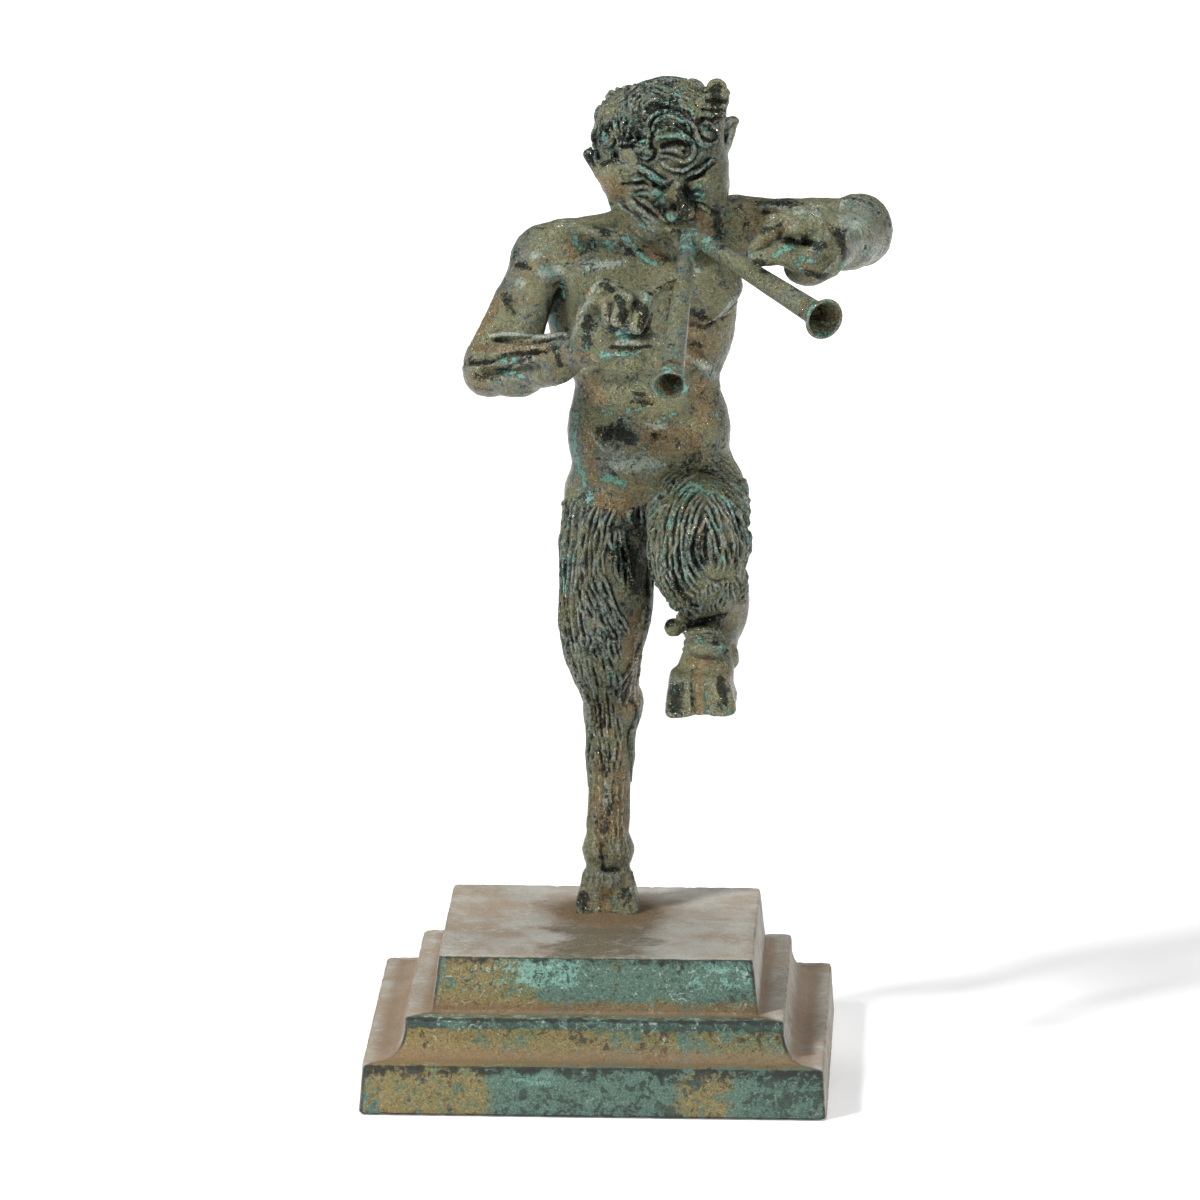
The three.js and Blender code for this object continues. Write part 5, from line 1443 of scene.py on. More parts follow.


# Touches of the old surface, with painted light among them: the dark ones hold painted shade as well as dark
# patina, the pale ones painted highlights as well as dust; each is a strength, a reach on the picture, a mark
# and the steps on from there.
TOUCHES: dict[Mask, tuple[tuple[float, ...], ...]] = {
    Mask.GREEN: (
        (1, 2.2, 628, 237, 9, 13, 8, 8, 12, 8), (1, 4, 576, 237, -2, 10), (0.9, 4, 595, 243, 17, 2), (1, 3, 623,
        238, 5, 3), (0.9, 2.5, 585, 285), (0.9, 2, 597, 409, 11, 2), (1, 2.5, 627, 411, 13, -1), (1, 2, 644,
        448, 8, -1), (0.9, 3, 660, 422, 8, -6, 8, -2), (1, 1.8, 668, 482), (1, 1.8, 676, 468), (1, 2, 576, 499),
        (1, 4, 577, 415, -3, 25, 3, 30), (0.9, 4, 582, 470, 6, 20, 4, 15), (0.8, 5, 602, 480, 10, -2, 10, 6),
        (1, 4, 682, 492, 12, -6, 12, 6), (0.8, 1.5, 698, 490, -18, 15, -12, 25, -6, 30), (0.8, 1.5, 708, 490,
        17, 10, 13, 20, 7, 25), (1, 3.5, 505, 374, 9, -2, 6, 4), (0.8, 4, 500, 362, 15, -1), (0.9, 3.5, 552,
        316, 4, 12), (0.6, 4, 541, 264, 11, 8), (0.9, 2.5, 586, 333), (0.9, 3, 600, 356, 20, -2, 20, -2), (0.8,
        3, 622, 336, 18, -2), (0.7, 2.5, 646, 299), (1, 4, 775, 256, 9, -6, 6, -4), (0.9, 3, 795, 262, 6, 8),
        (0.7, 3, 752, 255), (1, 4, 657, 190, 5, 10), (1, 4, 694, 188, 8, 8), (1, 2.5, 664, 214, 10, 6), (0.8, 2,
        670, 221, 20, 0), (0.8, 3, 638, 225, 7, 4), (0.9, 2, 640, 167, 8, 3, 7, 6, 7, 3), (0.9, 2, 691, 171, 8,
        -4, 13, -8), (0.8, 1.5, 650, 121, 5, -5, 10, -2, 10, 2, 9, 8, 7, 9), (0.9, 1.5, 650, 128, 6, 8, 8, 1, 8,
        0, 8, -4, 6, 5), (0.8, 2, 633, 140, 17, 1), (0.7, 1.5, 648, 90, 14, 10, 18, 8, 10, 14), (0.7, 1.5, 670,
        90, 15, 10, 8, 12), (0.8, 1.5, 703, 119, 11, 1), (0.8, 1.5, 701, 130, 8, -4), (0.8, 1.5, 693, 140, 5, 5,
        6, 2), (0.8, 2.5, 690, 232), (0.6, 5, 700, 640, 20, 10), (0.9, 1.2, 705, 668, 1, 32, 0, 16), (0.5, 3,
        700, 478, 16, 6), (0.6, 2.5, 618, 580), (0.5, 3, 590, 560), (0.6, 2, 640, 620, -4, 30), (0.5, 3, 590,
        900), (0.5, 4, 570, 545, -4, 45), (0.5, 3, 604, 650, 8, 30), (0.5, 3, 592, 745, -2, 55), (0.9, 4, 612,
        330, 14, 8), (0.8, 3, 650, 335), (0.7, 3, 602, 352, 28, 2), (0.8, 4, 800, 258, 16, 4), (0.8, 4, 846,
        262, -8, 10), (0.6, 4, 776, 248, 16, 4), (0.7, 2, 586, 333),
    ),
    Mask.DARK: (
        (0.9, 5, 505, 296, 7, 16), (0.9, 4, 518, 265, 12, 3), (0.7, 3, 548, 259), (0.9, 2, 562, 287, -9, 13, -5,
        18, -5, 15), (0.9, 1.6, 495, 340, 15, 2, 20, 0, 15, -1, 17, -4), (1, 2.6, 466, 362, 14, 1, 15, -2, 10,
        -6, 15, -2, 25, -1), (0.9, 2, 500, 372, 7, -5, 8, -4, 15, -6), (0.7, 5, 475, 376, 17, 2), (0.7, 5, 555,
        350, 5, 15), (0.8, 5, 588, 318, -2, 10), (1, 3, 616, 296, 8, 6, -6, 16), (0.9, 2.5, 644, 306, -6, 20),
        (1, 2.5, 612, 347, 18, 2, 20, -3), (0.8, 2, 650, 294, 11, -7, 19, -8), (0.8, 4, 692, 312, 20, 10), (0.7,
        4, 690, 344, 14, 2), (0.8, 4, 632, 402, 23, 1), (0.7, 4, 636, 394, 12, 2), (0.8, 7, 600, 432, 25, 4),
        (0.7, 4, 652, 435, 16, 1), (0.8, 5, 610, 472, 10, 6), (0.8, 3, 636, 512, 0, 14), (1, 12, 625, 555, 15,
        30), (0.9, 3, 757, 203, 23, 0, 18, 1), (1, 3, 763, 212, 6, 1), (0.5, 9, 738, 208, 6, 14, -3, 16), (0.8,
        4, 815, 274, 30, 4), (1, 3, 785, 240, 27, 2), (0.8, 4, 755, 262, 17, 4), (0.9, 1.8, 622, 184, 10, -2,
        10, -1), (0.8, 1.8, 633, 196, 15, 2), (1.5, 7, 683, 194, 1, 19), (1, 1.6, 645, 174, 10, 8, 13, 4, 4,
        -5), (1, 1.6, 688, 180, 9, -2, 8, -8, 9, -7), (1, 3.5, 674, 230, 12, 2), (0.8, 3, 714, 212, 2, 18),
        (0.9, 2, 600, 165, 8, -3), (1, 2, 590, 170, 8, 15, 6, 13, 7, 7), (1.4, 5, 588, 160), (0.9, 3, 648, 112,
        20, -3, 22, 4), (0.8, 4, 655, 127, 30, 0), (1, 3, 662, 144, 14, -2, 14, 4), (0.9, 3, 684, 152), (1, 2.5,
        640, 140, 10, 4), (1, 2, 640, 154, 10, 2), (1, 1.5, 622, 147, 18, 0), (0.9, 5, 628, 132, 12, -4), (0.8,
        5, 714, 95, 1, 17), (0.9, 4, 703, 124, 12, 10), (0.8, 4, 605, 136), (0.8, 5, 700, 535, 0, 25), (0.8,
        2.5, 683, 628, 17, -4, 18, -8, 7, -3), (0.8, 3, 714, 643), (0.8, 3, 725, 652), (0.9, 1.5, 692, 668, 0,
        32, 0, 16), (0.6, 5, 728, 705), (0.9, 2, 597, 690, 3, 20, 2, 25), (0.9, 6, 583, 896, 3, 16), (0.9, 1.8,
        601, 845, 2, 23), (0.9, 2, 605, 870, 15, 0), (0.6, 4, 566, 600, 4, 40), (0.6, 5, 470, 388, 20, 2), (0.6,
        4, 505, 240, 7, 16), (0.5, 6, 668, 300, 6, 30), (0.6, 5, 596, 225, 10, 7), (0.6, 4, 630, 470, 10, 16),
        (0.6, 5, 675, 585, 15, 19), (0.6, 3, 735, 560, 5, 30), (1.5, 4, 618, 298, 6, 14, -2, 8), (1.5, 4.5, 637,
        304, 9, 14, -2, 10), (1.3, 4, 602, 284, 10, 6), (0.9, 6, 585, 325, 3, 20), (0.9, 3, 618, 347, 22, 1),
        (0.8, 3, 672, 296, -2, 16), (1.2, 4, 785, 240, 40, 6), (1, 6, 838, 232, 8, 24), (1.1, 4, 808, 273, 24,
        7), (0.7, 4, 762, 232, 20, -6), (1.3, 6, 676, 690, -2, 18), (1.3, 5, 721, 680, 3, 26), (1.4, 6, 669,
        622), (0.6, 5, 622, 892, 8, 13), (1.4, 6, 716, 88, 0, 26), (1.2, 5, 636, 128, 4, 12), (1, 5, 606, 130,
        -8, 10), (0.6, 5, 660, 98, 16, 4), (0.7, 4, 700, 470, 12, 4), (0.7, 6, 715, 210, 1, 16), (0.7, 3, 650,
        105, 22, -1), (0.45, 9, 603, 745, 3, 55, -2, 50),
    ),
    Mask.PALE: (
        (0.9, 6, 545, 272, 11, -2), (0.8, 5, 534, 256), (0.8, 5, 520, 282), (0.9, 5, 588, 265, 30, -1), (0.6, 4,
        625, 262), (1, 17, 856, 222), (0.8, 10, 862, 245), (0.9, 2, 490, 336, 25, -2, 25, 2, 25, -2), (0.9, 1.8,
        573, 338, 13, -30, 7, -18, 7, -8), (0.9, 2, 598, 293), (0.9, 2, 603, 285), (0.9, 2, 613, 286), (0.8, 2,
        645, 298), (0.8, 2, 618, 343, 14, -1), (0.7, 2, 762, 206, 23, 0), (0.8, 2.5, 771, 217), (0.7, 2, 847,
        200, -6, 6, -1, 6), (0.8, 2, 841, 252, -9, 12, -16, 15), (0.8, 1.6, 715, 320, 10, -10, 10, -12), (0.9,
        1.5, 589, 430, 6, 10, 8, 10), (0.9, 4, 650, 425, 13, 2), (0.8, 8, 615, 465, 40, 0), (0.6, 2, 572, 440,
        0, 30), (0.9, 1.3, 618, 202, 12, 11, 15, 8, 8, 10), (0.8, 1.5, 632, 202, 8, 8, 8, 7, 10, 5), (0.9, 1.6,
        613, 150, 1, 8, 6, 5, 8, 3), (0.8, 1, 721, 215, -3, 13, -6, 8), (0.7, 1.4, 689, 140, 4, 10, -4, 8, -8,
        2, -7, -2, -6, -5), (0.8, 1.5, 661, 161, 7, 6, 12, 2, 8, -4, 9, -8, 5, -5), (0.8, 5, 728, 122), (0.7, 2,
        730, 130, -4, 30), (0.8, 1.2, 649, 600, -6, 30, -7, 30, -4, 30), (0.9, 2.2, 606, 783, 1, 22), (0.6, 4,
        735, 640), (0.5, 4, 715, 655), (0.6, 2, 690, 555, 4, 20), (0.5, 6, 700, 365, 12, 7), (0.5, 5, 480, 410,
        20, -2), (0.5, 6, 800, 212, 15, 2), (0.5, 5, 690, 262, 10, 8),
    ),
    # brown and ochre patches of the patina; the strip from (606, 302) on a finger of the right hand is a
    # painted lit side
    Mask.WARM: (
        (0.8, 3, 583, 236), (0.8, 4, 571, 242, 0, 14), (0.8, 3, 590, 292), (0.9, 3, 590, 428, 0, 24, 3, 26),
        (0.9, 7, 489, 305, -11, 25), (0.9, 4, 475, 347, 35, 1, 35, -1), (0.8, 2, 577, 354, 19, 3), (1, 1.8, 606,
        302, 1, 20), (0.8, 3, 806, 266, 5, 6), (0.6, 4, 790, 222, -25, 20), (0.9, 8, 698, 218, 8, 12), (0.7, 4,
        642, 208, 14, 6), (0.6, 6, 650, 250, 10, 8), (0.6, 14, 655, 440, 35, 0), (0.7, 8, 600, 503, 22, 2),
        (0.8, 4, 699, 520, -1, 18), (0.9, 8, 635, 620, -3, 80), (0.6, 8, 618, 790, -3, 40), (1, 3, 698, 670, 1,
        45), (0.8, 5, 690, 660, 14, 2), (0.9, 4, 606, 895, 1, 17), (0.6, 8, 602, 180, 14, 10), (0.5, 10, 700,
        390, 5, 30), (0.5, 9, 590, 380, 10, 20), (0.4, 8, 600, 750, 2, 95), (0.4, 7, 618, 750, 2, 85), (0.4, 8,
        604, 700, 4, 35), (0.6, 9, 690, 330, 10, 15),
    ),
}

HEAD_ROOM = Ball((9, -8, 183), (20.3, 20.3, 20.3))
WAIST = 121.5
LAP = 0.5  # how far neighbouring portions reach past their border
SINK = 0.05  # how far a portion's rim lies under its neighbour


@dataclass(frozen=True)
class Portion:
    """A part of the figure that has a grid of its own and overlaps its neighbours a little."""

    name: str
    low: Point
    high: Point
    cell: float
    room: Callable[[np.ndarray, np.ndarray, np.ndarray], np.ndarray]

    def trim(self, clay: Clay) -> None:
        """Cut the clay at the portion's borders.

        Args:
            clay: The portion's finished clay.
        """
        x, y, z = (clay.low[n] + clay.cell * np.arange(clay.values.shape[n]) for n in range(3))
        room = self.room(x[:, None, None], y[None, :, None], z[None, None, :]).astype(np.float32)
        clay.values += SINK * np.clip(1 - room / LAP, 0, 1)
        np.maximum(clay.values, -room, out=clay.values)


HEAD_PORTION = Portion(
    "faun_head",
    (-10, -31, 158),
    (34, 16, 204),
    0.2,
    lambda x, y, z: LAP - HEAD_ROOM.distance(x, y, z),
)
TRUNK_PORTION = Portion(
    "faun_trunk",
    (-35, -50, 117),
    (62, 28, 177),
    0.3,
    lambda x, y, z: np.minimum(HEAD_ROOM.distance(x, y, z), z - WAIST) + LAP,
)
LEGS_PORTION = Portion(
    "faun_legs",
    (-13, -36, SOLE_Z - 0.8),
    (33, 28, 126),
    0.25,
    lambda x, y, z: WAIST + LAP - z + 0 * (x + y),
)


@dataclass
class Faun:
    """The figure, one casting without its pipes, carved in three portions."""

    portions: tuple[Portion, ...] = (HEAD_PORTION, TRUNK_PORTION, LEGS_PORTION)
    tool_marks: tuple[tuple[float, float], ...] = ((2.6, 0.12), (1.1, 0.09), (0.6, 0.045))

    def block_out(self, clay: Clay) -> None:
        """Model the bare figure.

        Args:
            clay: Empty clay.
        """
        for carving in (Torso(), Belly(), Neck(), RightArm(), LeftArm(), StandingLeg(), RaisedLeg(), Tail()):
            clay.model(carving.forms())
        for forms in (Skull().forms(), FaceSide().forms(), FaceSide().mirrored()):
            clay.model(forms, HEAD)
        clay.model(HornsAndEars().forms())

    def add_hands_and_hooves(self, clay: Clay, portion: Portion) -> None:
        """Model what the hair and fur don't reach, and a portion's folds of skin.

        Args:
            clay: The dressed clay.
            portion: Which part of the figure it is.
        """
        clay.model(RightHand().forms())
        clay.model(LeftHand().forms())
        clay.model(Hoof().forms(), STANDING_HOOF)
        clay.model(WIDE_HOOF.forms(), RAISED_HOOF)
        if portion is TRUNK_PORTION:
            SkinStrokes().press(clay, 9)

    def dress(self, clay: Clay, portion: Portion) -> None:
        """Carve the hair, the face's folds or the fur of a portion.

        Args:
            clay: The bare clay.
            portion: Which part of the figure it is.
        """
        if portion is HEAD_PORTION:
            clay.model(HairMass().forms())
            Hair().press(clay)
            HairStrokes().press(clay, 1)
            FaceStrokes().press(clay, 4)
        if portion is LEGS_PORTION:
            LegFur().press(clay)
            KneeFur().press(clay)
            FurStrokes().press(clay, 6)

    def build(self) -> list[bpy.types.Object]:
        """Make the figure's portions with their masks, ready for their finish."""
        sheets = {tone: painted(touches) for tone, touches in TOUCHES.items()}
        return [self.build_portion(portion, sheets) for portion in self.portions]

    def build_portion(self, portion: Portion, sheets: dict[Mask, np.ndarray]) -> bpy.types.Object:
        """Make one portion.

        Args:
            portion: Which one.
            sheets: How strongly each tone's touches cover the picture.

        Returns:
            The portion's mesh with its masks.
        """
        clay = Clay(portion.low, portion.high, portion.cell)
        self.block_out(clay)
        bare = fullness(clay, 2)
        self.dress(clay, portion)
        haired = np.abs(fullness(clay, 2) - bare)
        self.add_hands_and_hooves(clay, portion)
        full, fine = fullness(clay, 2), fullness(clay, 1)
        portion.trim(clay)
        points, faces = outer_skin(*skin(clay))
        LOG.info("%s: %d faces before thinning", portion.name, len(faces))
        piece = thinned(make_object(portion.name, points, faces), PORTION_TRIANGLES)
        points = points_of(piece)
        out = clay.slope(points)
        points -= out * np.clip(clay.sample(points), -0.1, 0.1)[:, None]
        coarse, near = (points - clay.low) / (2 * clay.cell), (points - clay.low) / clay.cell
        reach = lambda length, step: max(1, round(length / clay.cell / step))
        masks = {
            Mask.HOLLOW: sample_grid(blurred(fine, reach(0.55, 1)), near),
            Mask.HOLLOW_WIDE: sample_grid(blurred(full, reach(2.2, 2)), coarse),
            Mask.HAIRY: sample_grid(blurred(haired, reach(0.8, 2)), coarse),
        }
        marks = SIGHT.marks(points)[:, ::-1]
        faced = np.clip(4 * (out @ SIGHT.back), 0, 1)
        for tone, sheet in sheets.items():
            masks[tone] = sample_grid(sheet, np.pad(marks, ((0, 0), (0, 1)))) * faced
        for n, (spacing, depth) in enumerate(self.tool_marks):
            points += out * (lattice_noise(points, spacing, 70 + n) * depth)[:, None]
        points[:, 2] = np.maximum(points[:, 2], SOLE_Z)
        set_points(piece, points)
        set_masks(piece, masks)
        return piece


def painted(touches: Sequence[tuple[float, ...]]) -> np.ndarray:
    """Paint touches on the picture.

    Args:
        touches: The touches of one tone.

    Returns:
        How strongly they cover each place of the picture, as one layer of a grid.
    """
    sheet = np.zeros((SIGHT.picture, SIGHT.picture, 2), np.float32)
    for strength, reach, *marks in touches:
        line = curved(marks, TOUCH_POINTS) if len(marks) > 2 else np.reshape(marks, (1, 2))
        for across, down in line:
            half = math.ceil(TOUCH_REACH * reach)
            top, left = round(down) - half, round(across) - half
            rows, columns = np.arange(top, top + 2 * half + 1), np.arange(left, left + 2 * half + 1)
            gap = ((rows[:, None] - down) ** 2 + (columns[None, :] - across) ** 2) / reach**2
            window = sheet[top : top + 2 * half + 1, left : left + 2 * half + 1]
            np.maximum(window, (strength * np.exp(-gap))[:, :, None], out=window)
    return sheet


def fullness(clay: Clay, step: int) -> np.ndarray:
    """Return how full the clay is at each step-th node, from 0 outside to 1 inside."""
    return np.clip(0.5 - clay.values[::step, ::step, ::step] / (step * clay.cell), 0, 1)


def placed(name: str, data: bpy.types.ID) -> bpy.types.Object:
    """Put a mesh, a light or a camera in the scene.

    Args:
        name: The object's name.
        data: What it shows.

    Returns:
        The object.
    """
    obj = bpy.data.objects.new(name, data)
    bpy.context.scene.collection.objects.link(obj)
    return obj


def make_object(name: str, points: np.ndarray, faces: np.ndarray) -> bpy.types.Object:
    """Make an object from points in millimetres.

    Args:
        name: The object's name.
        points: The points.
        faces: The faces, with the same number of corners each.

    Returns:
        The object, linked to the scene.
    """
    mesh = bpy.data.meshes.new(name)
    corners = faces.shape[1]
    mesh.vertices.add(len(points))
    mesh.vertices.foreach_set("co", (points * MILLIMETRE).astype(np.float32).ravel())
    mesh.loops.add(faces.size)
    mesh.loops.foreach_set("vertex_index", faces.astype(np.int32).ravel())
    mesh.polygons.add(len(faces))
    mesh.polygons.foreach_set("loop_start", np.arange(0, faces.size, corners, dtype=np.int32))
    mesh.update(calc_edges=True)
    mesh.validate()
    return placed(name, mesh)


def points_of(obj: bpy.types.Object) -> np.ndarray:
    """Read the points of an object's mesh.

    Args:
        obj: The object.

    Returns:
        The points, in millimetres.
    """
    flat = np.empty(len(obj.data.vertices) * 3, np.float32)
    obj.data.vertices.foreach_get("co", flat)
    return flat.reshape(-1, 3).astype(float) / MILLIMETRE


def set_points(obj: bpy.types.Object, points: np.ndarray) -> None:
    """Move the points of an object's mesh to places in millimetres."""
    obj.data.vertices.foreach_set("co", (points * MILLIMETRE).astype(np.float32).ravel())
    obj.data.update()


def set_masks(obj: bpy.types.Object, masks: dict[Mask, np.ndarray]) -> None:
    """Store masks on an object's mesh.

    Args:
        obj: The object.
        masks: One number for each point, by the mask that they stand for.
    """
    for mask, values in masks.items():
        layer = obj.data.attributes.new(mask.value, "FLOAT", "POINT")
        layer.data.foreach_set("value", values.astype(np.float32))


def settled(obj: bpy.types.Object) -> bpy.types.Object:
    """Turn an object with modifiers into a plain mesh of the same name.

    Args:
        obj: The object, which is used up.

    Returns:
        The new object.
    """
    evaluated = obj.evaluated_get(bpy.context.evaluated_depsgraph_get())
    mesh = bpy.data.meshes.new_from_object(evaluated)
    name = obj.name
    bpy.data.objects.remove(obj)
    mesh.name = name
    return placed(name, mesh)


def thinned(obj: bpy.types.Object, triangles: int) -> bpy.types.Object:
    """Join the faces of an object where it is smooth.

    Args:
        obj: An object with four-sided faces.
        triangles: How many triangles may be left.

    Returns:
        The thinner object.
    """
    now = 2 * len(obj.data.polygons)
    if now > triangles:
        thin = obj.modifiers.new("thin", "DECIMATE")
        thin.ratio = triangles / now
        obj = settled(obj)
    obj.data.shade_smooth()
    return obj


def arithmetic(operation: str, reflected: bool = False) -> Callable[..., "Value"]:
    """Make an operator of Value.

    Args:
        operation: The Math node's operation.
        reflected: Whether the value stands after the other operand.

    Returns:
        A method that adds the Math node.
    """

    def method(value: "Value", *others: "Value | float") -> "Value":
        """Return the Math node's result."""
        return value.tree.math(operation, *((*others, value) if reflected else (value, *others)))

    return method


class Value:
    """A number socket that takes part in Python arithmetic."""

    __add__ = __radd__ = arithmetic("ADD")
    __mul__ = __rmul__ = arithmetic("MULTIPLY")
    __sub__, __rsub__ = arithmetic("SUBTRACT"), arithmetic("SUBTRACT", True)
    __truediv__, __rtruediv__ = arithmetic("DIVIDE"), arithmetic("DIVIDE", True)
    __abs__ = arithmetic("ABSOLUTE")

    def __init__(self, tree: "Tree", socket: bpy.types.NodeSocket) -> None:
        """Wrap a socket of a tree."""
        self.tree = tree
        self.socket = socket

    def math(self, operation: str, *others: "Value | float") -> "Value":
        """Return the result of a Math node with this value first."""
        return self.tree.math(operation, self, *others)

    def step(self, low: float, high: float) -> "Value":
        """Return 0 below low and 1 above high, with a smooth rise between them."""
        settings = {"interpolation_type": "SMOOTHSTEP"}
        return self.tree.node("ShaderNodeMapRange", settings, {0: self, 1: low, 2: high, 3: 0.0, 4: 1.0})

    def clamped(self) -> "Value":
        """Return the value held between 0 and 1."""
        return self.tree.node("ShaderNodeClamp", {}, {0: self})


class Tree:
    """Builds a node tree from Python expressions."""

    def __init__(self, tree: bpy.types.NodeTree) -> None:
        """Wrap an empty node tree."""
        self.tree = tree

    def node(
        self, kind: str, settings: dict[str, Any], sockets: dict[int | str, Any], output: int | str = 0
    ) -> Value:
        """Add a node.

        Args:
            kind: The node's type.
            settings: Its properties, which are set first.
            sockets: A value or a link for each input that isn't left as it is.
            output: Which output is wanted.

        Returns:
            The wanted output.
        """
        made = self.tree.nodes.new(kind)
        for name, value in settings.items():
            setattr(made, name, value)
        for key, value in sockets.items():
            if isinstance(value, Value):
                self.tree.links.new(value.socket, made.inputs[key])
            else:
                made.inputs[key].default_value = value
        return Value(self, made.outputs[output] if made.outputs else None)

    def math(self, operation: str, *values: Value | float) -> Value:
        """Return the result of a Math node."""
        return self.node("ShaderNodeMath", {"operation": operation}, dict(enumerate(values)))

    def vector(self, operation: str, *values: Any, output: int = 0) -> Value:
        """Return the result of a Vector Math node."""
        return self.node("ShaderNodeVectorMath", {"operation": operation}, dict(enumerate(values)), output)

    def part(self, vector: Value, axis: str) -> Value:
        """Return one coordinate of a vector."""
        return self.node("ShaderNodeSeparateXYZ", {}, {0: vector}, axis)

    def attribute(self, name: str) -> Value:
        """Return the number that the mesh stores under a name."""
        return self.node("ShaderNodeAttribute", {"attribute_name": name}, {}, "Fac")

    def mix(self, share: Value | float, first: Any, second: Any) -> Value:
        """Return a colour between two colours."""
        settings = {"data_type": "RGBA", "clamp_factor": True}
        return self.node("ShaderNodeMix", settings, {0: share, 6: first, 7: second}, 2)

    def noise(
        self, at: Value, scale: float, detail: float = 4, rough: float = 0.55, bent: float = 0, seed: float = 0
    ) -> Value:
        """Return cloudy noise about 0.5.

        Args:
            at: Where it is read.
            scale: Clouds per metre.
            detail: How many finer layers it has.
            rough: How strong the finer layers are.
            bent: How far it is distorted.
            seed: Picks another pattern.

        Returns:
            The noise, from 0 to 1.
        """
        sockets = {"Vector": at, "W": seed, "Scale": scale, "Detail": detail, "Roughness": rough}
        return self.node("ShaderNodeTexNoise", {"noise_dimensions": "4D"}, {**sockets, "Distortion": bent})

    def surface(self, sockets: dict[str, Any], height: Value | None = None, depth: float = 0) -> None:
        """Close a material's tree with its shader.

        Args:
            sockets: The shader's inputs.
            height: Relief that is too fine for the mesh, from 0 to 1.
            depth: How deep that relief is, in metres.
        """
        if height:
            relief = {"Strength": 1.0, "Distance": depth, "Height": height}
            sockets = {**sockets, "Normal": self.node("ShaderNodeBump", {}, relief, "Normal")}
        shader = self.node("ShaderNodeBsdfPrincipled", {}, sockets)
        self.node("ShaderNodeOutputMaterial", {}, {"Surface": shader})


def new_material(name: str) -> tuple[bpy.types.Material, Tree, Value]:
    """Make a material whose tree is still empty.

    Args:
        name: Its name.

    Returns:
        The material, its tree and the place on the piece.
    """
    material = bpy.data.materials.new(name)
    material.use_nodes = True
    material.node_tree.nodes.clear()
    t = Tree(material.node_tree)
    return material, t, t.node("ShaderNodeTexCoord", {}, {}, "Object")


def paint(red: int, green: int, blue: int) -> Colour:
    """Return a screen colour, 0 to 255 each, as the renderer's light."""
    linear = [((c / 255 + 0.055) / 1.055) ** 2.4 if c > 10 else c / 255 / 12.92 for c in (red, green, blue)]
    return (*linear, 1.0)


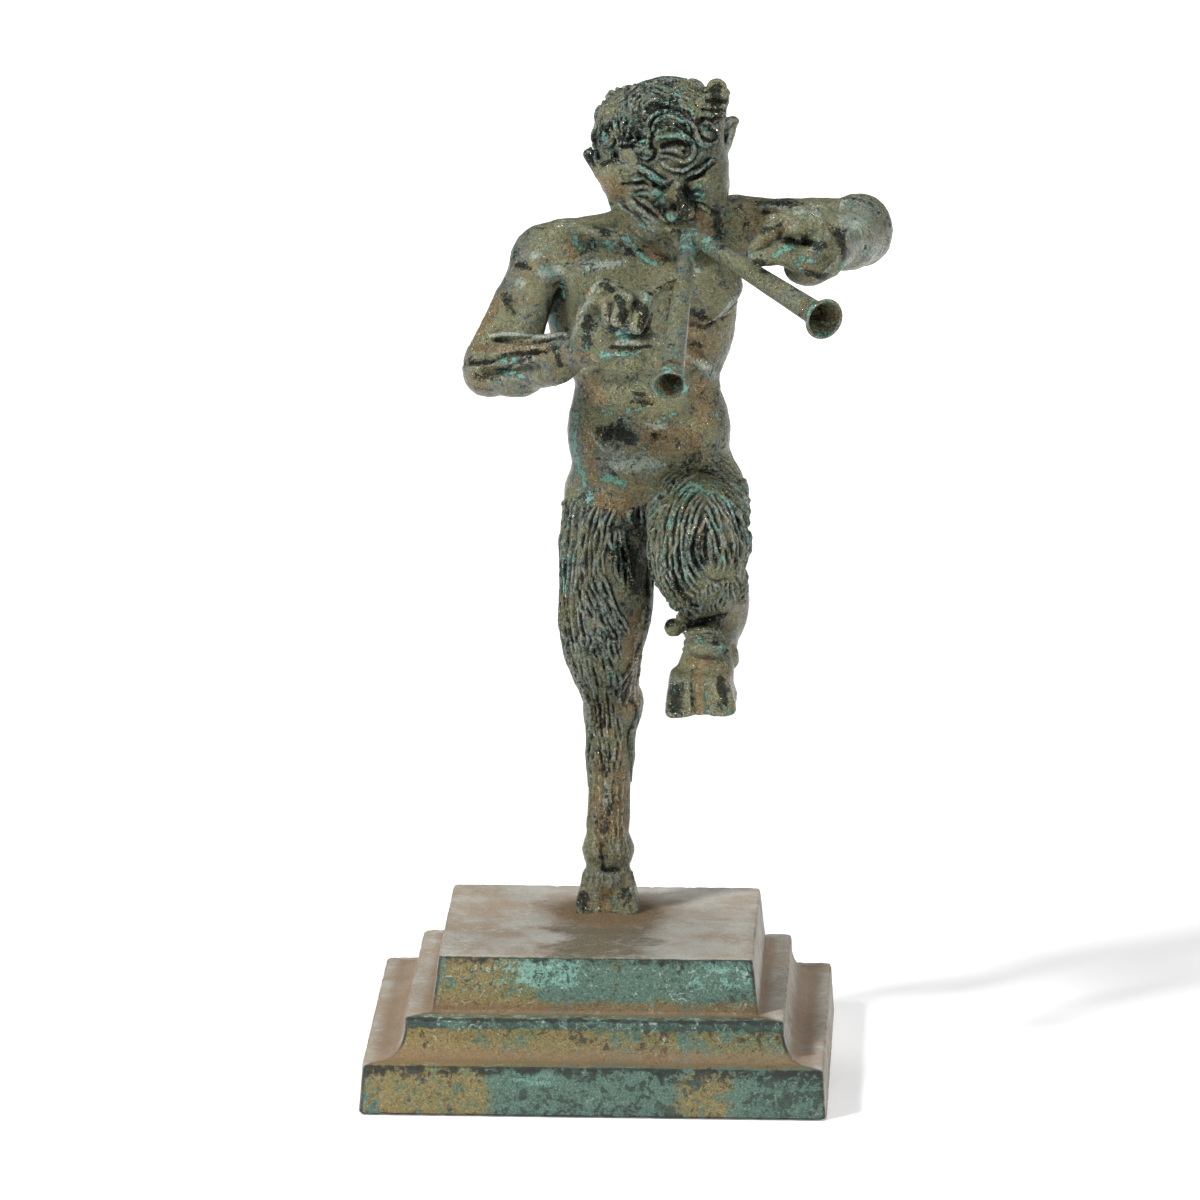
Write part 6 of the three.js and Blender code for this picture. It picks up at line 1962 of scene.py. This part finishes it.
@dataclass(frozen=True)
class FigureBronze:
    """Aged bronze: olive brown and charcoal, verdigris in patches and on crests, pale dust, painted highlights
    and glints, and painted shade in grooves, folds and under forms.
    """

    name: str = "figure_bronze"
    olive: Colour = paint(114, 113, 80)
    brown: Colour = paint(117, 98, 61)
    slate: Colour = paint(100, 117, 110)
    char: Colour = paint(30, 33, 31)
    # near black for fine hair lines, and for painted shade in the grooves
    pitch: Colour = paint(18, 20, 17)
    verdigris: Colour = paint(86, 148, 126)
    blue_green: Colour = paint(122, 166, 160)
    # pale dust; it also paints highlights and sheen
    dust_and_sheen: Colour = paint(164, 174, 162)
    umber: Colour = paint(64, 55, 37)
    # colour of the painted glints
    glint_highlight: Colour = paint(216, 200, 172)
    ochre: Colour = paint(111, 92, 54)
    relief: float = 0.0005

    def build(self) -> bpy.types.Material:
        """Build the material.

        Returns:
            The material.
        """
        material, t, at = new_material(self.name)
        read = lambda mask: t.attribute(mask.value)
        hollow, wide, hairy = read(Mask.HOLLOW), read(Mask.HOLLOW_WIDE), read(Mask.HAIRY).step(0.03, 0.12)
        # the dark touches carry painted shade as well as dark patina, the pale touches painted highlights as
        # well as dust
        green, dark, pale, warm = read(Mask.GREEN), read(Mask.DARK), read(Mask.PALE), read(Mask.WARM)
        drawn = t.vector("MULTIPLY", at, (1.0, 1.0, 0.22))
        grain = t.noise(at, 3600, 2, 0.7, seed=3)
        sand = t.noise(at, 1500, 4, 0.7, 0.5, seed=4)
        crust = t.noise(at, 620, 5, 0.68, 1.2, seed=1)
        flake = t.noise(at, 430, 5, 0.62, 1.6, seed=6)
        cloud = t.noise(at, 150, 5, 0.62, 0.8, seed=2)
        broad = t.noise(at, 55, 4, 0.55, 0.4, seed=5)
        hairs = t.noise(drawn, 2400, 3, 0.6, 0.2, seed=7)
        groove = hollow.step(0.53, 0.62)
        crest = 1 - hollow.step(0.38, 0.48)
        fold = wide.step(0.5, 0.7)
        tan = (broad * 0.6 + cloud * 0.4 + warm * 0.3 - pale * 0.05).step(0.47, 0.6)
        base = t.mix(tan, self.olive, self.brown)
        grey = cloud * 0.5 + broad * 0.2 + crust * 0.3 + pale * 0.1 + hairy * 0.03 - warm * 0.14
        base = t.mix(grey.step(0.49, 0.57) * 0.75, base, self.slate)
        broken = lambda mask, low, high: (mask * 1.25 + (crust - 0.5) * 3 + (sand - 0.5) * 2).step(low, high)
        base = t.mix(broken(warm, 0.5, 1.0) * 0.5, base, self.ochre)
        base = t.mix((1 - flake.step(0.4, 0.48)) * 0.5, base, self.umber)
        # painted highlight on the crests, strongest on hair and fur
        base = t.mix(crest * (0.12 + hairy * 0.5) * cloud.step(0.38, 0.55), base, self.dust_and_sheen)
        # a pale powder of dust, heavier under the pale touches, so it also paints their highlights and sheen;
        # the pale speckle after it does the same
        powder_and_sheen = (sand * 0.45 + crust * 0.35 + cloud * 0.2 + pale * 0.15 + crest * 0.04).step(0.51, 0.62)
        base = t.mix(powder_and_sheen * (0.35 + pale * 0.5).clamped(), base, self.dust_and_sheen)
        base = t.mix(grain.step(0.52, 0.64) * (0.35 + pale * 0.3), base, self.dust_and_sheen)
        # charcoal patches of the patina, with painted shade from the dark touches and, a little, from the wide
        # hollows (fold)
        char_and_shade = cloud * 0.35 + crust * 0.4 + sand * 0.25 + dark * 0.1 + fold * 0.06 + hairy * 0.02 - warm * 0.03
        char_and_shade = char_and_shade.step(0.53, 0.58).math("MAXIMUM", broken(dark, 0.5, 0.95))
        base = t.mix(char_and_shade * 0.9, base, self.char)
        patina = flake * 0.5 + sand * 0.3 + grain * 0.2 + green * 0.125
        patina = patina + fold * 0.04 + hairy * crest * 0.05 - warm * 0.05
        rim = patina.step(0.535, 0.565)
        base = t.mix(rim * 0.45, base, self.char)
        patina = patina.step(0.565, 0.6)
        tint = t.mix((cloud * 0.5 + grain * 0.5).step(0.42, 0.6), self.verdigris, self.blue_green)
        base = t.mix(patina * 0.8, base, tint)
        base = t.mix((1 - sand.step(0.34, 0.5)) * 0.6, base, self.char)
        base = t.mix((1 - grain.step(0.36, 0.5)) * 0.5, base, self.char)
        base = t.mix((1 - hairs.step(0.36, 0.56)) * hairy * 0.55, base, self.pitch)
        # near black in the fine grooves, more on hair and fur: dark patina and painted shade between strands
        base = t.mix((groove * (0.6 + hairy * 0.5)).clamped(), base, self.pitch)
        # painted glints: small pale highlights, more on crests and under the warm and pale touches
        painted_glint = (t.noise(at, 2300, 2, 0.6, seed=9) + crest * 0.05 + warm * 0.03 + pale * 0.03).step(0.66, 0.7)
        base = t.mix(painted_glint * 0.8, base, self.glint_highlight)
        height = sand * 0.7 + grain * 0.5 + crust * 0.7 + patina * 0.25 - char_and_shade * 0.2 + hairs * hairy * 0.5
        metal = (0.3 + char_and_shade * 0.65 + painted_glint * 0.5 - patina * 0.3).clamped()
        rough = (0.25 + patina * 0.3 + powder_and_sheen * 0.1 + groove * 0.2 - painted_glint * 0.1).clamped()
        sockets = {"Base Color": base, "Metallic": metal, "Specular IOR Level": 0.3, "Roughness": rough}
        t.surface(sockets, height, self.relief)
        return material


@dataclass(frozen=True)
class PlinthBronze:
    """The plinth's finish: green and ochre with black edges in front, pale dust with a painted sheen elsewhere,
    soil in its corners.
    """

    name: str = "plinth_bronze"
    # lilac, tan and chalk colour the faces other than the front: dust, with a painted sheen
    lilac: Colour = paint(164, 162, 154)
    tan: Colour = paint(146, 132, 114)
    chalk: Colour = paint(180, 184, 178)
    teal: Colour = paint(78, 104, 92)
    olive: Colour = paint(106, 104, 64)
    ochre: Colour = paint(132, 112, 68)
    turquoise: Colour = paint(112, 160, 146)
    pale: Colour = paint(166, 182, 168)
    soil: Colour = paint(122, 98, 72)
    stain: Colour = paint(84, 76, 52)
    black: Colour = paint(30, 34, 31)
    slab_top: float = 9.6
    cove_top: float = 15.2
    block_foot: float = 17.2
    block_half: float = 31.7
    cove_half: float = 40.5
    hoof: tuple[float, float] = (0.9, 9)
    relief: float = 0.0006

    def build(self) -> bpy.types.Material:
        """Build the material.

        Returns:
            The material.
        """
        material, t, at = new_material(self.name)
        x, y, z = (t.part(at, axis) / MILLIMETRE for axis in "XYZ")
        level = t.part(t.node("ShaderNodeNewGeometry", {}, {}, "Normal"), "Z").step(0.6, 0.9)
        arris = t.attribute("arris")
        grain = t.noise(at, 2600, 3, 0.7, seed=3)
        sand = t.noise(at, 1000, 4, 0.7, 0.6, seed=4)
        crust = t.noise(at, 420, 6, 0.68, 0.9, seed=1)
        cloud = t.noise(at, 110, 5, 0.62, 0.7, seed=2)
        broad = t.noise(at, 40, 4, 0.6, 0.5, seed=5)
        long_way = t.vector("MULTIPLY", at, (0.25, 0.6, 1.6))
        streak = t.noise(long_way, 260, 5, 0.65, 0.5, seed=6)
        wander = (crust - 0.5) * 5 + (sand - 0.5) * 3
        beside = abs(x) + y
        top = level * z.step(27, 27.6)
        # the front faces show the aged bronze; the top, the sides and the back get the pale finish, partly dust
        # and partly a painted sheen
        front = (1 - (beside + wander * (0.2 + level * 0.5)).step(-0.7, 0.5)) * (1 - top)
        foot = z + wander * 0.25
        half = abs(x).math("MAXIMUM", abs(y))
        fillet = foot.step(self.cove_top - 0.3, self.cove_top + 0.3) * (1 - foot.step(17, 17.4))
        block = foot.step(17, 17.6)
        slab = 1 - foot.step(self.slab_top - 0.5, self.slab_top + 0.1)
        cove = (1 - slab - block - fillet).clamped()

        # the pale finish off the front: dust and painted sheen, with stains
        dust_and_grazing_sheen = t.mix((streak * 0.5 + cloud * 0.6 + abs(x - 12) * 0.002).step(0.48, 0.72), self.lilac, self.tan)
        dust_and_grazing_sheen = t.mix((streak * 0.3 + crust * 0.5 + broad * 0.3).step(0.54, 0.66) * 0.55, dust_and_grazing_sheen, self.chalk)
        dust_and_grazing_sheen = t.mix((1 - sand.step(0.3, 0.42)) * 0.4, dust_and_grazing_sheen, self.stain)
        dust_and_grazing_sheen = t.mix((1 - level) * (crust * 0.5 + streak * 0.5).step(0.48, 0.62) * 0.5, dust_and_grazing_sheen, self.stain)
        about = lambda place, near, far: 1 - abs(x + wander - place).step(near, far)
        golden = slab * (about(-32.0, 8, 16) + about(22.0, 3, 9) * 0.8)
        golden = golden + cove * (0.7 + about(-24.0, 12, 24) * 0.4)
        low = (1 - z.step(18.6, 21)) * 0.7
        golden = golden + block * (about(-21.0, 6, 14) * 0.9 + low + about(8.0, 3, 9) * 0.3)
        aged = t.mix((cloud * 0.5 + crust * 0.5 + golden * 0.14 - 0.05).step(0.49, 0.56), self.teal, self.olive)
        rust = (cloud * 0.3 + crust * 0.5 + broad * 0.2 + golden * 0.11 - 0.07).step(0.49, 0.56)
        aged = t.mix(rust * 0.85, aged, self.ochre)
        mossy = block * z.step(21, 23.5) * (about(-10.0, 4, 11) + about(24.0, 3, 9))
        mossy = mossy + slab * z.step(5, 7) * about(-12.0, 4, 9)
        moss = crust * 0.5 + cloud * 0.4 + sand * 0.25 + fillet * 0.05 - cove * 0.04 + mossy * 0.09
        aged = t.mix(moss.step(0.615, 0.66) * 0.85, aged, self.turquoise)
        flecks = t.noise(at, 520, 5, 0.72, 1.4, seed=8) + fillet * 0.08 - slab * 0.03
        aged = t.mix((flecks + block * 0.02).step(0.6, 0.65) * 0.75, aged, self.pale)
        pits = crust * 0.5 + cloud * 0.3 + sand * 0.2 + slab * about(-2.0, 8, 22) * 0.03
        pits = pits + fillet * 0.05 + (x - 10).step(-20, 40) * 0.03 + slab * z.step(6, 9) * 0.05
        aged = t.mix(grain.step(0.52, 0.66) * 0.3, aged, self.pale)
        aged = t.mix(pits.step(0.535, 0.575) * 0.82, aged, self.black)
        aged = t.mix((1 - sand.step(0.34, 0.48)) * 0.6, aged, self.black)
        base = t.mix(front, dust_and_grazing_sheen, aged)
        edge = (1 - abs(beside).step(0.2, 0.9)) * (1 - level)
        line = ((arris + (crust - 0.5) * 1.4).step(0.3, 0.6) * front + edge).clamped()
        line = line * (crust * 0.5 + sand * 0.5).step(0.38, 0.5)
        base = t.mix(line * 0.9, base, self.black)
        base = t.mix(arris.step(0.3, 0.6) * (1 - front) * crust.step(0.45, 0.6) * 0.5, base, self.stain)

        block_corner = (half - self.block_half).math("MAXIMUM", 0.0) + abs(z - self.block_foot)
        cove_corner = (half - self.cove_half).math("MAXIMUM", 0.0) + abs(z - self.slab_top)
        corner = block_corner.math("MINIMUM", cove_corner)
        dirt = (1 - (corner + wander * 0.5).step(0.6, 3)) * (0.55 + crust * 0.6).clamped()
        base = t.mix(dirt * 0.8, base, self.soil)
        across, ahead = x - self.hoof[0], y - self.hoof[1]
        ring = (across * across + ahead * ahead).math("SQRT") + wander * 1.2
        spread = (abs(across + (cloud - 0.5) * 20) + wander).step(6, 13)
        spill = (1 - spread) * (1 - (ahead + wander).step(-4, 3)) * (crust * 0.6 + streak * 0.6).step(0.4, 0.62)
        base = t.mix(top * (spill * 0.85 + (1 - ring.step(8, 13)) * 0.8).clamped(), base, self.stain)
        base = t.mix(top * (1 - ring.step(11, 19)) * 0.55, base, self.soil)
        base = t.mix((1 - grain.step(0.3, 0.5)) * (0.3 + front * 0.3), base, self.black)
        # pale speckle off the front faces, part of their dust and painted sheen
        base = t.mix(grain.step(0.54, 0.68) * (1 - front) * 0.35, base, self.chalk)
        height = (crust * 0.6 + sand * 0.6 + grain * 0.4 + flecks * 0.4) * (0.45 + front * 0.55)
        rough = (0.5 + crust * 0.2 - front * 0.1).clamped()
        sockets = {"Base Color": base, "Metallic": 0.12, "Specular IOR Level": 0.35, "Roughness": rough}
        t.surface(sockets, height, self.relief)
        return material


@dataclass
class TurnedTree:
    """A geometry tree that sweeps a profile round an axis, from round to square in plan."""

    name: str = "turned_form"
    reals: tuple[str, ...] = ("Squareness", "Corner Gather", "Unevenness", "Wear")
    weld: float = 2e-6

    def build(self) -> bpy.types.NodeTree:
        """Build the tree. Its profile is the modifier's own mesh of loose points, (radius, wear, height).

        Returns:
            The tree.
        """
        group = bpy.data.node_groups.new(self.name, "GeometryNodeTree")
        kinds = {"Profile": "Geometry", "Segments": "Int", **dict.fromkeys(self.reals, "Float")}
        kinds["Material"] = "Material"
        for name, kind in kinds.items():
            group.interface.new_socket(name, in_out="INPUT", socket_type="NodeSocket" + kind)
        group.interface.new_socket("Form", in_out="OUTPUT", socket_type="NodeSocketGeometry")
        t = Tree(group)
        given = group.nodes.new("NodeGroupInput")
        get = lambda name: Value(t, given.outputs[name])
        add = lambda kind, settings=None, **sockets: t.node("GeometryNode" + kind, settings or {}, sockets)
        size = {"component": "MESH"}
        rings = t.node("GeometryNodeAttributeDomainSize", size, {0: get("Profile")}, "Point Count")
        sides = {"Size X": 1.0, "Size Y": 1.0, "Vertices X": get("Segments"), "Vertices Y": rings}
        grid = t.node("GeometryNodeMeshGrid", {}, sides)
        place = add("InputPosition")
        row = ((t.part(place, "Y") + 0.5) * (rings - 1.0)).math("ROUND")
        settings = {"data_type": "FLOAT_VECTOR", "domain": "POINT"}
        found = add("SampleIndex", settings, Geometry=get("Profile"), Value=place, Index=row)
        radius, worn, height = (t.part(found, axis) for axis in "XYZ")
        turn = (t.part(place, "X") + 0.5) * (2 * math.pi)
        turn = turn + (turn * 4).math("SINE") * get("Corner Gather") * 0.25
        cosine, sine = turn.math("COSINE"), turn.math("SINE")
        power = get("Squareness")
        total = abs(cosine).math("POWER", power) + abs(sine).math("POWER", power)
        reach = radius * total.math("POWER", -1.0 / power)
        spot = t.node("ShaderNodeCombineXYZ", {}, {0: reach * cosine, 1: reach * sine, 2: height})
        settings = {"data_type": "FLOAT", "domain": "POINT"}
        stored = add("StoreNamedAttribute", settings, Geometry=grid, Name="arris", Value=worn)
        moved = add("SetPosition", Geometry=stored, Position=spot)
        closed = add("MergeByDistance", Geometry=moved, Distance=self.weld)
        lumps = t.noise(place, 220, 4, 0.6, seed=11) - 0.5
        bites = t.noise(place, 480, 4, 0.65, seed=12).step(0.46, 0.72)
        arris = add("InputNamedAttribute", {"data_type": "FLOAT"}, Name="arris")
        shift = lumps * get("Unevenness") - bites * arris * get("Wear")
        offset = t.node("ShaderNodeVectorMath", {"operation": "SCALE"}, {0: add("InputNormal"), "Scale": shift})
        rough = add("SetPosition", Geometry=closed, Offset=offset)
        real = add("RealizeInstances", Geometry=add("SetShadeSmooth", Geometry=rough))
        dressed = add("SetMaterial", Geometry=real, Material=get("Material"))
        t.node("NodeGroupOutput", {}, {"Form": dressed})
        return group


@dataclass
class TurnedForm:
    """A piece made by the turned tree: a profile of (radius, height, wear) points and its plan."""

    name: str
    profile: Sequence[tuple[float, float, float]]
    segments: int
    squareness: float = 2.0
    gather: float = 0.0
    unevenness: float = 0.05
    wear: float = 0.0

    def build(self, tree: bpy.types.NodeTree, material: bpy.types.Material) -> bpy.types.Object:
        """Make the piece.

        Args:
            tree: The turned tree.
            material: The finish.

        Returns:
            The finished piece as a plain mesh.
        """
        mesh = bpy.data.meshes.new(self.name)
        points = [(r * MILLIMETRE, w, h * MILLIMETRE) for r, h, w in self.profile]
        mesh.from_pydata(points, [], [])
        obj = placed(self.name, mesh)
        modifier = obj.modifiers.new("form", "NODES")
        modifier.node_group = tree
        values = {
            "Segments": self.segments + 1,
            "Squareness": self.squareness,
            "Corner Gather": self.gather,
            "Unevenness": self.unevenness * MILLIMETRE,
            "Wear": self.wear * MILLIMETRE,
            "Material": material,
        }
        names = {item.name: item.identifier for item in tree.interface.items_tree if item.in_out == "INPUT"}
        for name, value in values.items():
            modifier[names[name]] = value
        return settled(obj)


@dataclass
class Plinth:
    """The stepped square plinth: slab, cove and block."""

    name: str = "plinth_casting"
    slab_half: float = 45.0
    slab_top_half: float = 44.4
    slab_height: float = 9.6
    cove_foot_half: float = 40.4
    cove_top_half: float = 36.6
    fillet_height: float = 1.8
    cove_height: float = 7.6
    block_foot_half: float = 31.6
    block_top_half: float = 30.4
    arris: float = 0.45
    step: float = 0.7
    mound_at: tuple[float, float] = (0.9, 8.6)
    mound_reach: float = 9.4
    mound_height: float = 0.9

    def corners(self) -> list[tuple[float, float, float]]:
        """List the profile's corner points from the foot to the top, with their wear.

        Returns:
            A radius, a height and a wear for each.
        """
        slab, shoulder = self.slab_height, self.slab_height + self.cove_height
        a, b = self.arris, 0.3 * self.arris
        rise, depth = self.cove_height - self.fillet_height, self.cove_foot_half - self.cove_top_half
        cove = [
            (self.cove_foot_half - depth * math.sin(turn), slab + rise * (1 - math.cos(turn)), 0.0)
            for turn in (math.radians(15 * n) for n in range(7))
        ]
        edge = lambda half, top: [(half, top - a, 0.5), (half - b, top - b, 1.0), (half - a, top, 0.4)]
        foot = [(self.slab_half - a, 0, 0.3), (self.slab_half - b, b, 1.0), (self.slab_half, a, 0.3)]
        return [
            (0, 0, 0.0),
            *foot,
            *edge(self.slab_top_half, slab),
            *cove,
            *edge(self.cove_top_half, shoulder),
            (self.block_foot_half, shoulder, 0.0),
            *edge(self.block_top_half, PLINTH_TOP),
            (0, PLINTH_TOP, 0.0),
        ]

    def profile(self) -> list[tuple[float, float, float]]:
        """Set the profile's points close enough together for its wear to show.

        Returns:
            A radius, a height and a wear for each point.
        """
        corners = self.corners()
        points = [corners[0]]
        for start, end in zip(corners, corners[1:]):
            span = math.dist(start[:2], end[:2])
            flat = start[1] == end[1] and span > 20
            parts = max(1, round(span / (self.step * (3 if flat else 1))))
            for n in range(1, parts + 1):
                share = n / parts
                wear = start[2] * (1 - share) ** 3 + end[2] * share**3
                points.append((*(s + (e - s) * share for s, e in zip(start[:2], end[:2])), wear))
        return points

    def build(self, tree: bpy.types.NodeTree, material: bpy.types.Material) -> bpy.types.Object:
        """Make the plinth.

        Args:
            tree: The turned tree.
            material: The finish.

        Returns:
            A plain mesh.
        """
        piece = TurnedForm(self.name, self.profile(), 360, 70, 0.7, 0.16, 0.45).build(tree, material)
        points = points_of(piece)
        away = np.linalg.norm(points[:, :2] - np.asarray(self.mound_at), axis=1)
        bank = np.exp(-((away / self.mound_reach) ** 4)) * (points[:, 2] > PLINTH_TOP - 0.5)
        points[:, 2] += self.mound_height * bank * (1 + 0.5 * lattice_noise(points, 2.5, 80))
        set_points(piece, points)
        return piece


@dataclass
class Pipe:
    """One of the two pipes, from the lips to its hollow bell."""

    name: str
    mouth: Point
    bell: Point
    bell_radius: float
    lips: float = 1.5
    middle: float = 1.9
    neck: float = 2.3
    flare: float = 5
    wall: float = 0.7
    cup_depth: float = 6
    green: float = 0.5
    step: float = 0.6

    def build(self, tree: bpy.types.NodeTree, material: bpy.types.Material) -> bpy.types.Object:
        """Make the pipe in its place.

        Args:
            tree: The turned tree.
            material: The finish.

        Returns:
            A plain mesh.
        """
        mouth, way = Vector(self.mouth), Vector(self.bell) - Vector(self.mouth)
        length, outer, inner = way.length, self.bell_radius, self.bell_radius - self.wall
        widening = outer - self.neck
        profile = [
            (0, 0),
            (self.lips, 0),
            (self.middle, length * 0.45),
            (self.neck, length - self.flare),
            (self.neck + widening * 0.18, length - self.flare * 0.7),
            (self.neck + widening * 0.5, length - self.flare * 0.4),
            (outer - 0.25, length - self.flare * 0.16),
            (outer, length - 0.5),
            (outer - 0.15, length - 0.1),
            (outer - 0.45, length),
            (inner, length - 0.3),
            (inner - 0.5, length - self.flare * 0.25),
            (inner - 1.1, length - self.flare * 0.55),
            (inner - 1.5, length - self.cup_depth * 0.9),
            (0, length - self.cup_depth),
        ]
        dense = [(*profile[0], 0.0)]
        for start, end in zip(profile, profile[1:]):
            parts = max(1, round(math.dist(start, end) / self.step))
            for n in range(1, parts + 1):
                dense.append((*(s + (e - s) * n / parts for s, e in zip(start, end)), 0.0))
        piece = TurnedForm(self.name, dense, 36, unevenness=0.16).build(tree, material)
        turn = Vector((0, 0, 1)).rotation_difference(way).to_matrix().to_4x4()
        piece.data.transform(Matrix.Translation(mouth * MILLIMETRE) @ turn)
        away, axis = points_of(piece) - np.asarray(self.mouth), np.asarray(way.normalized())
        ahead = away @ axis
        aside = np.linalg.norm(away - ahead[:, None] * axis, axis=1)
        inside = np.clip((length - 0.5 - ahead) / 3, 0, 1) * (ahead > length - self.cup_depth - 0.1)
        inside *= aside < inner + 0.05 - inside * 0.4
        # inside the bell the wide hollow is raised, which darkens it there as painted shade and adds verdigris
        masks = {
            Mask.HOLLOW: 0.5 - 0.06 * np.exp(-(((ahead - length) / 0.7) ** 2)),
            Mask.HOLLOW_WIDE: 0.42 + 0.3 * inside,
            Mask.WARM: inside * 0.9,
            Mask.GREEN: self.green * (np.exp(-(((ahead - length + 1.5) / 6) ** 2)) + (ahead < 12)),
            Mask.PALE: 0.15 * (1 - inside),
        }
        set_masks(piece, masks)
        return piece


@dataclass
class Studio:
    """The pale floor, the soft lights and the camera at the photograph's angle."""

    clip: tuple[float, float] = (0.1, 50)
    sky: float = 0.2
    lights: tuple[tuple[str, Point, float, float], ...] = (  # name, place and side in metres, power in watts
        ("key", (-1.0, -0.9, 1.3), 0.25, 39),
        ("side", (1.2, -0.8, 0.7), 0.35, 11),
        ("top", (0.1, 0.1, 1.7), 0.35, 13),
    )
    aim: Point = (0, 0, 0.1)
    floor_z: float = -0.2
    floor_reach: tuple[tuple[float, float], ...] = ((-4000, -4000), (4000, 6000))
    shade: Colour = paint(108, 108, 110)
    glow: Colour = paint(226, 226, 226)

    def camera(self) -> None:
        """Make the camera and set it as the scene's."""
        data = bpy.data.cameras.new("camera")
        data.lens = SIGHT.lens
        data.sensor_width = SIGHT.sensor
        data.clip_start, data.clip_end = self.clip
        camera = placed("camera", data)
        turn = Matrix(SIGHT.axes.tolist()).transposed().to_4x4()
        camera.matrix_world = Matrix.Translation(Vector(SIGHT.place) * MILLIMETRE) @ turn
        bpy.context.scene.camera = camera

    def light(self, name: str, at: Point, size: float, power: float) -> None:
        """Add a square light that looks at the figure.

        Args:
            name: The light's name.
            at: Where it hangs, in metres.
            size: Its side, in metres.
            power: Its power, in watts.
        """
        data = bpy.data.lights.new(name, "AREA")
        data.size = size
        data.energy = power
        lamp = placed(name, data)
        lamp.location = at
        lamp.rotation_euler = (Vector(self.aim) - Vector(at)).to_track_quat("-Z", "Y").to_euler()

    def floor(self) -> None:
        """Lay the floor, which glows more the farther it is from the statuette."""
        (left, front), (right, back) = self.floor_reach
        corners = [(left, front), (right, front), (right, back), (left, back)]
        points = np.array([(x, y, self.floor_z) for x, y in corners], float)
        floor = make_object("floor", points, np.array([[0, 1, 2, 3]]))
        material, t, at = new_material("floor_white")
        glow = t.vector("LENGTH", at, output=1).step(0.12, 0.9)
        tone = t.mix(glow, self.shade, self.glow)
        sockets = {"Base Color": (0.8, 0.8, 0.8, 1), "Roughness": 0.9, "Specular IOR Level": 0.1}
        t.surface({**sockets, "Emission Color": tone, "Emission Strength": 1.0})
        floor.data.materials.append(material)

    def build(self) -> None:
        """Set up the whole studio."""
        self.camera()
        self.floor()
        world = bpy.data.worlds.new("studio")
        world.use_nodes = True
        background = world.node_tree.nodes["Background"].inputs
        background[0].default_value, background[1].default_value = (1, 1, 1, 1), self.sky
        bpy.context.scene.world = world
        for light in self.lights:
            self.light(*light)
        bpy.context.scene.view_settings.view_transform = "Standard"


def finish_piece(
    piece: bpy.types.Object, node: str, material: bpy.types.Material | None = None
) -> None:
    """Tie a piece to the CAD frame.

    Args:
        piece: The finished piece.
        node: The CAD node that it stands for.
        material: Its finish, if it hasn't got it yet.
    """
    if material:
        piece.data.materials.clear()
        piece.data.materials.append(material)
    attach(piece, BODY)
    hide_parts(node)
    LOG.info("%s: %d faces", piece.name, len(piece.data.polygons))


def main() -> None:
    """Build every piece and the studio."""
    logging.basicConfig(level=logging.INFO, format="%(name)s %(relativeCreated)d ms: %(message)s")
    Studio().build()
    figure_bronze = FigureBronze().build()
    plinth_bronze = PlinthBronze().build()
    turned_tree = TurnedTree().build()
    for portion in Faun().build():
        finish_piece(portion, "faun", figure_bronze)
    mouth = (16.7, -11.5, 166.6)
    for pipe in (
        Pipe("right_pipe", mouth, (14.6, -59, 145.4), 3.5),
        Pipe("left_pipe", mouth, (43.6, -56, 158), 4),
    ):
        finish_piece(pipe.build(turned_tree, figure_bronze), "faun")
    finish_piece(Plinth().build(turned_tree, plinth_bronze), "plinth")


if __name__ == "__main__":
    main()
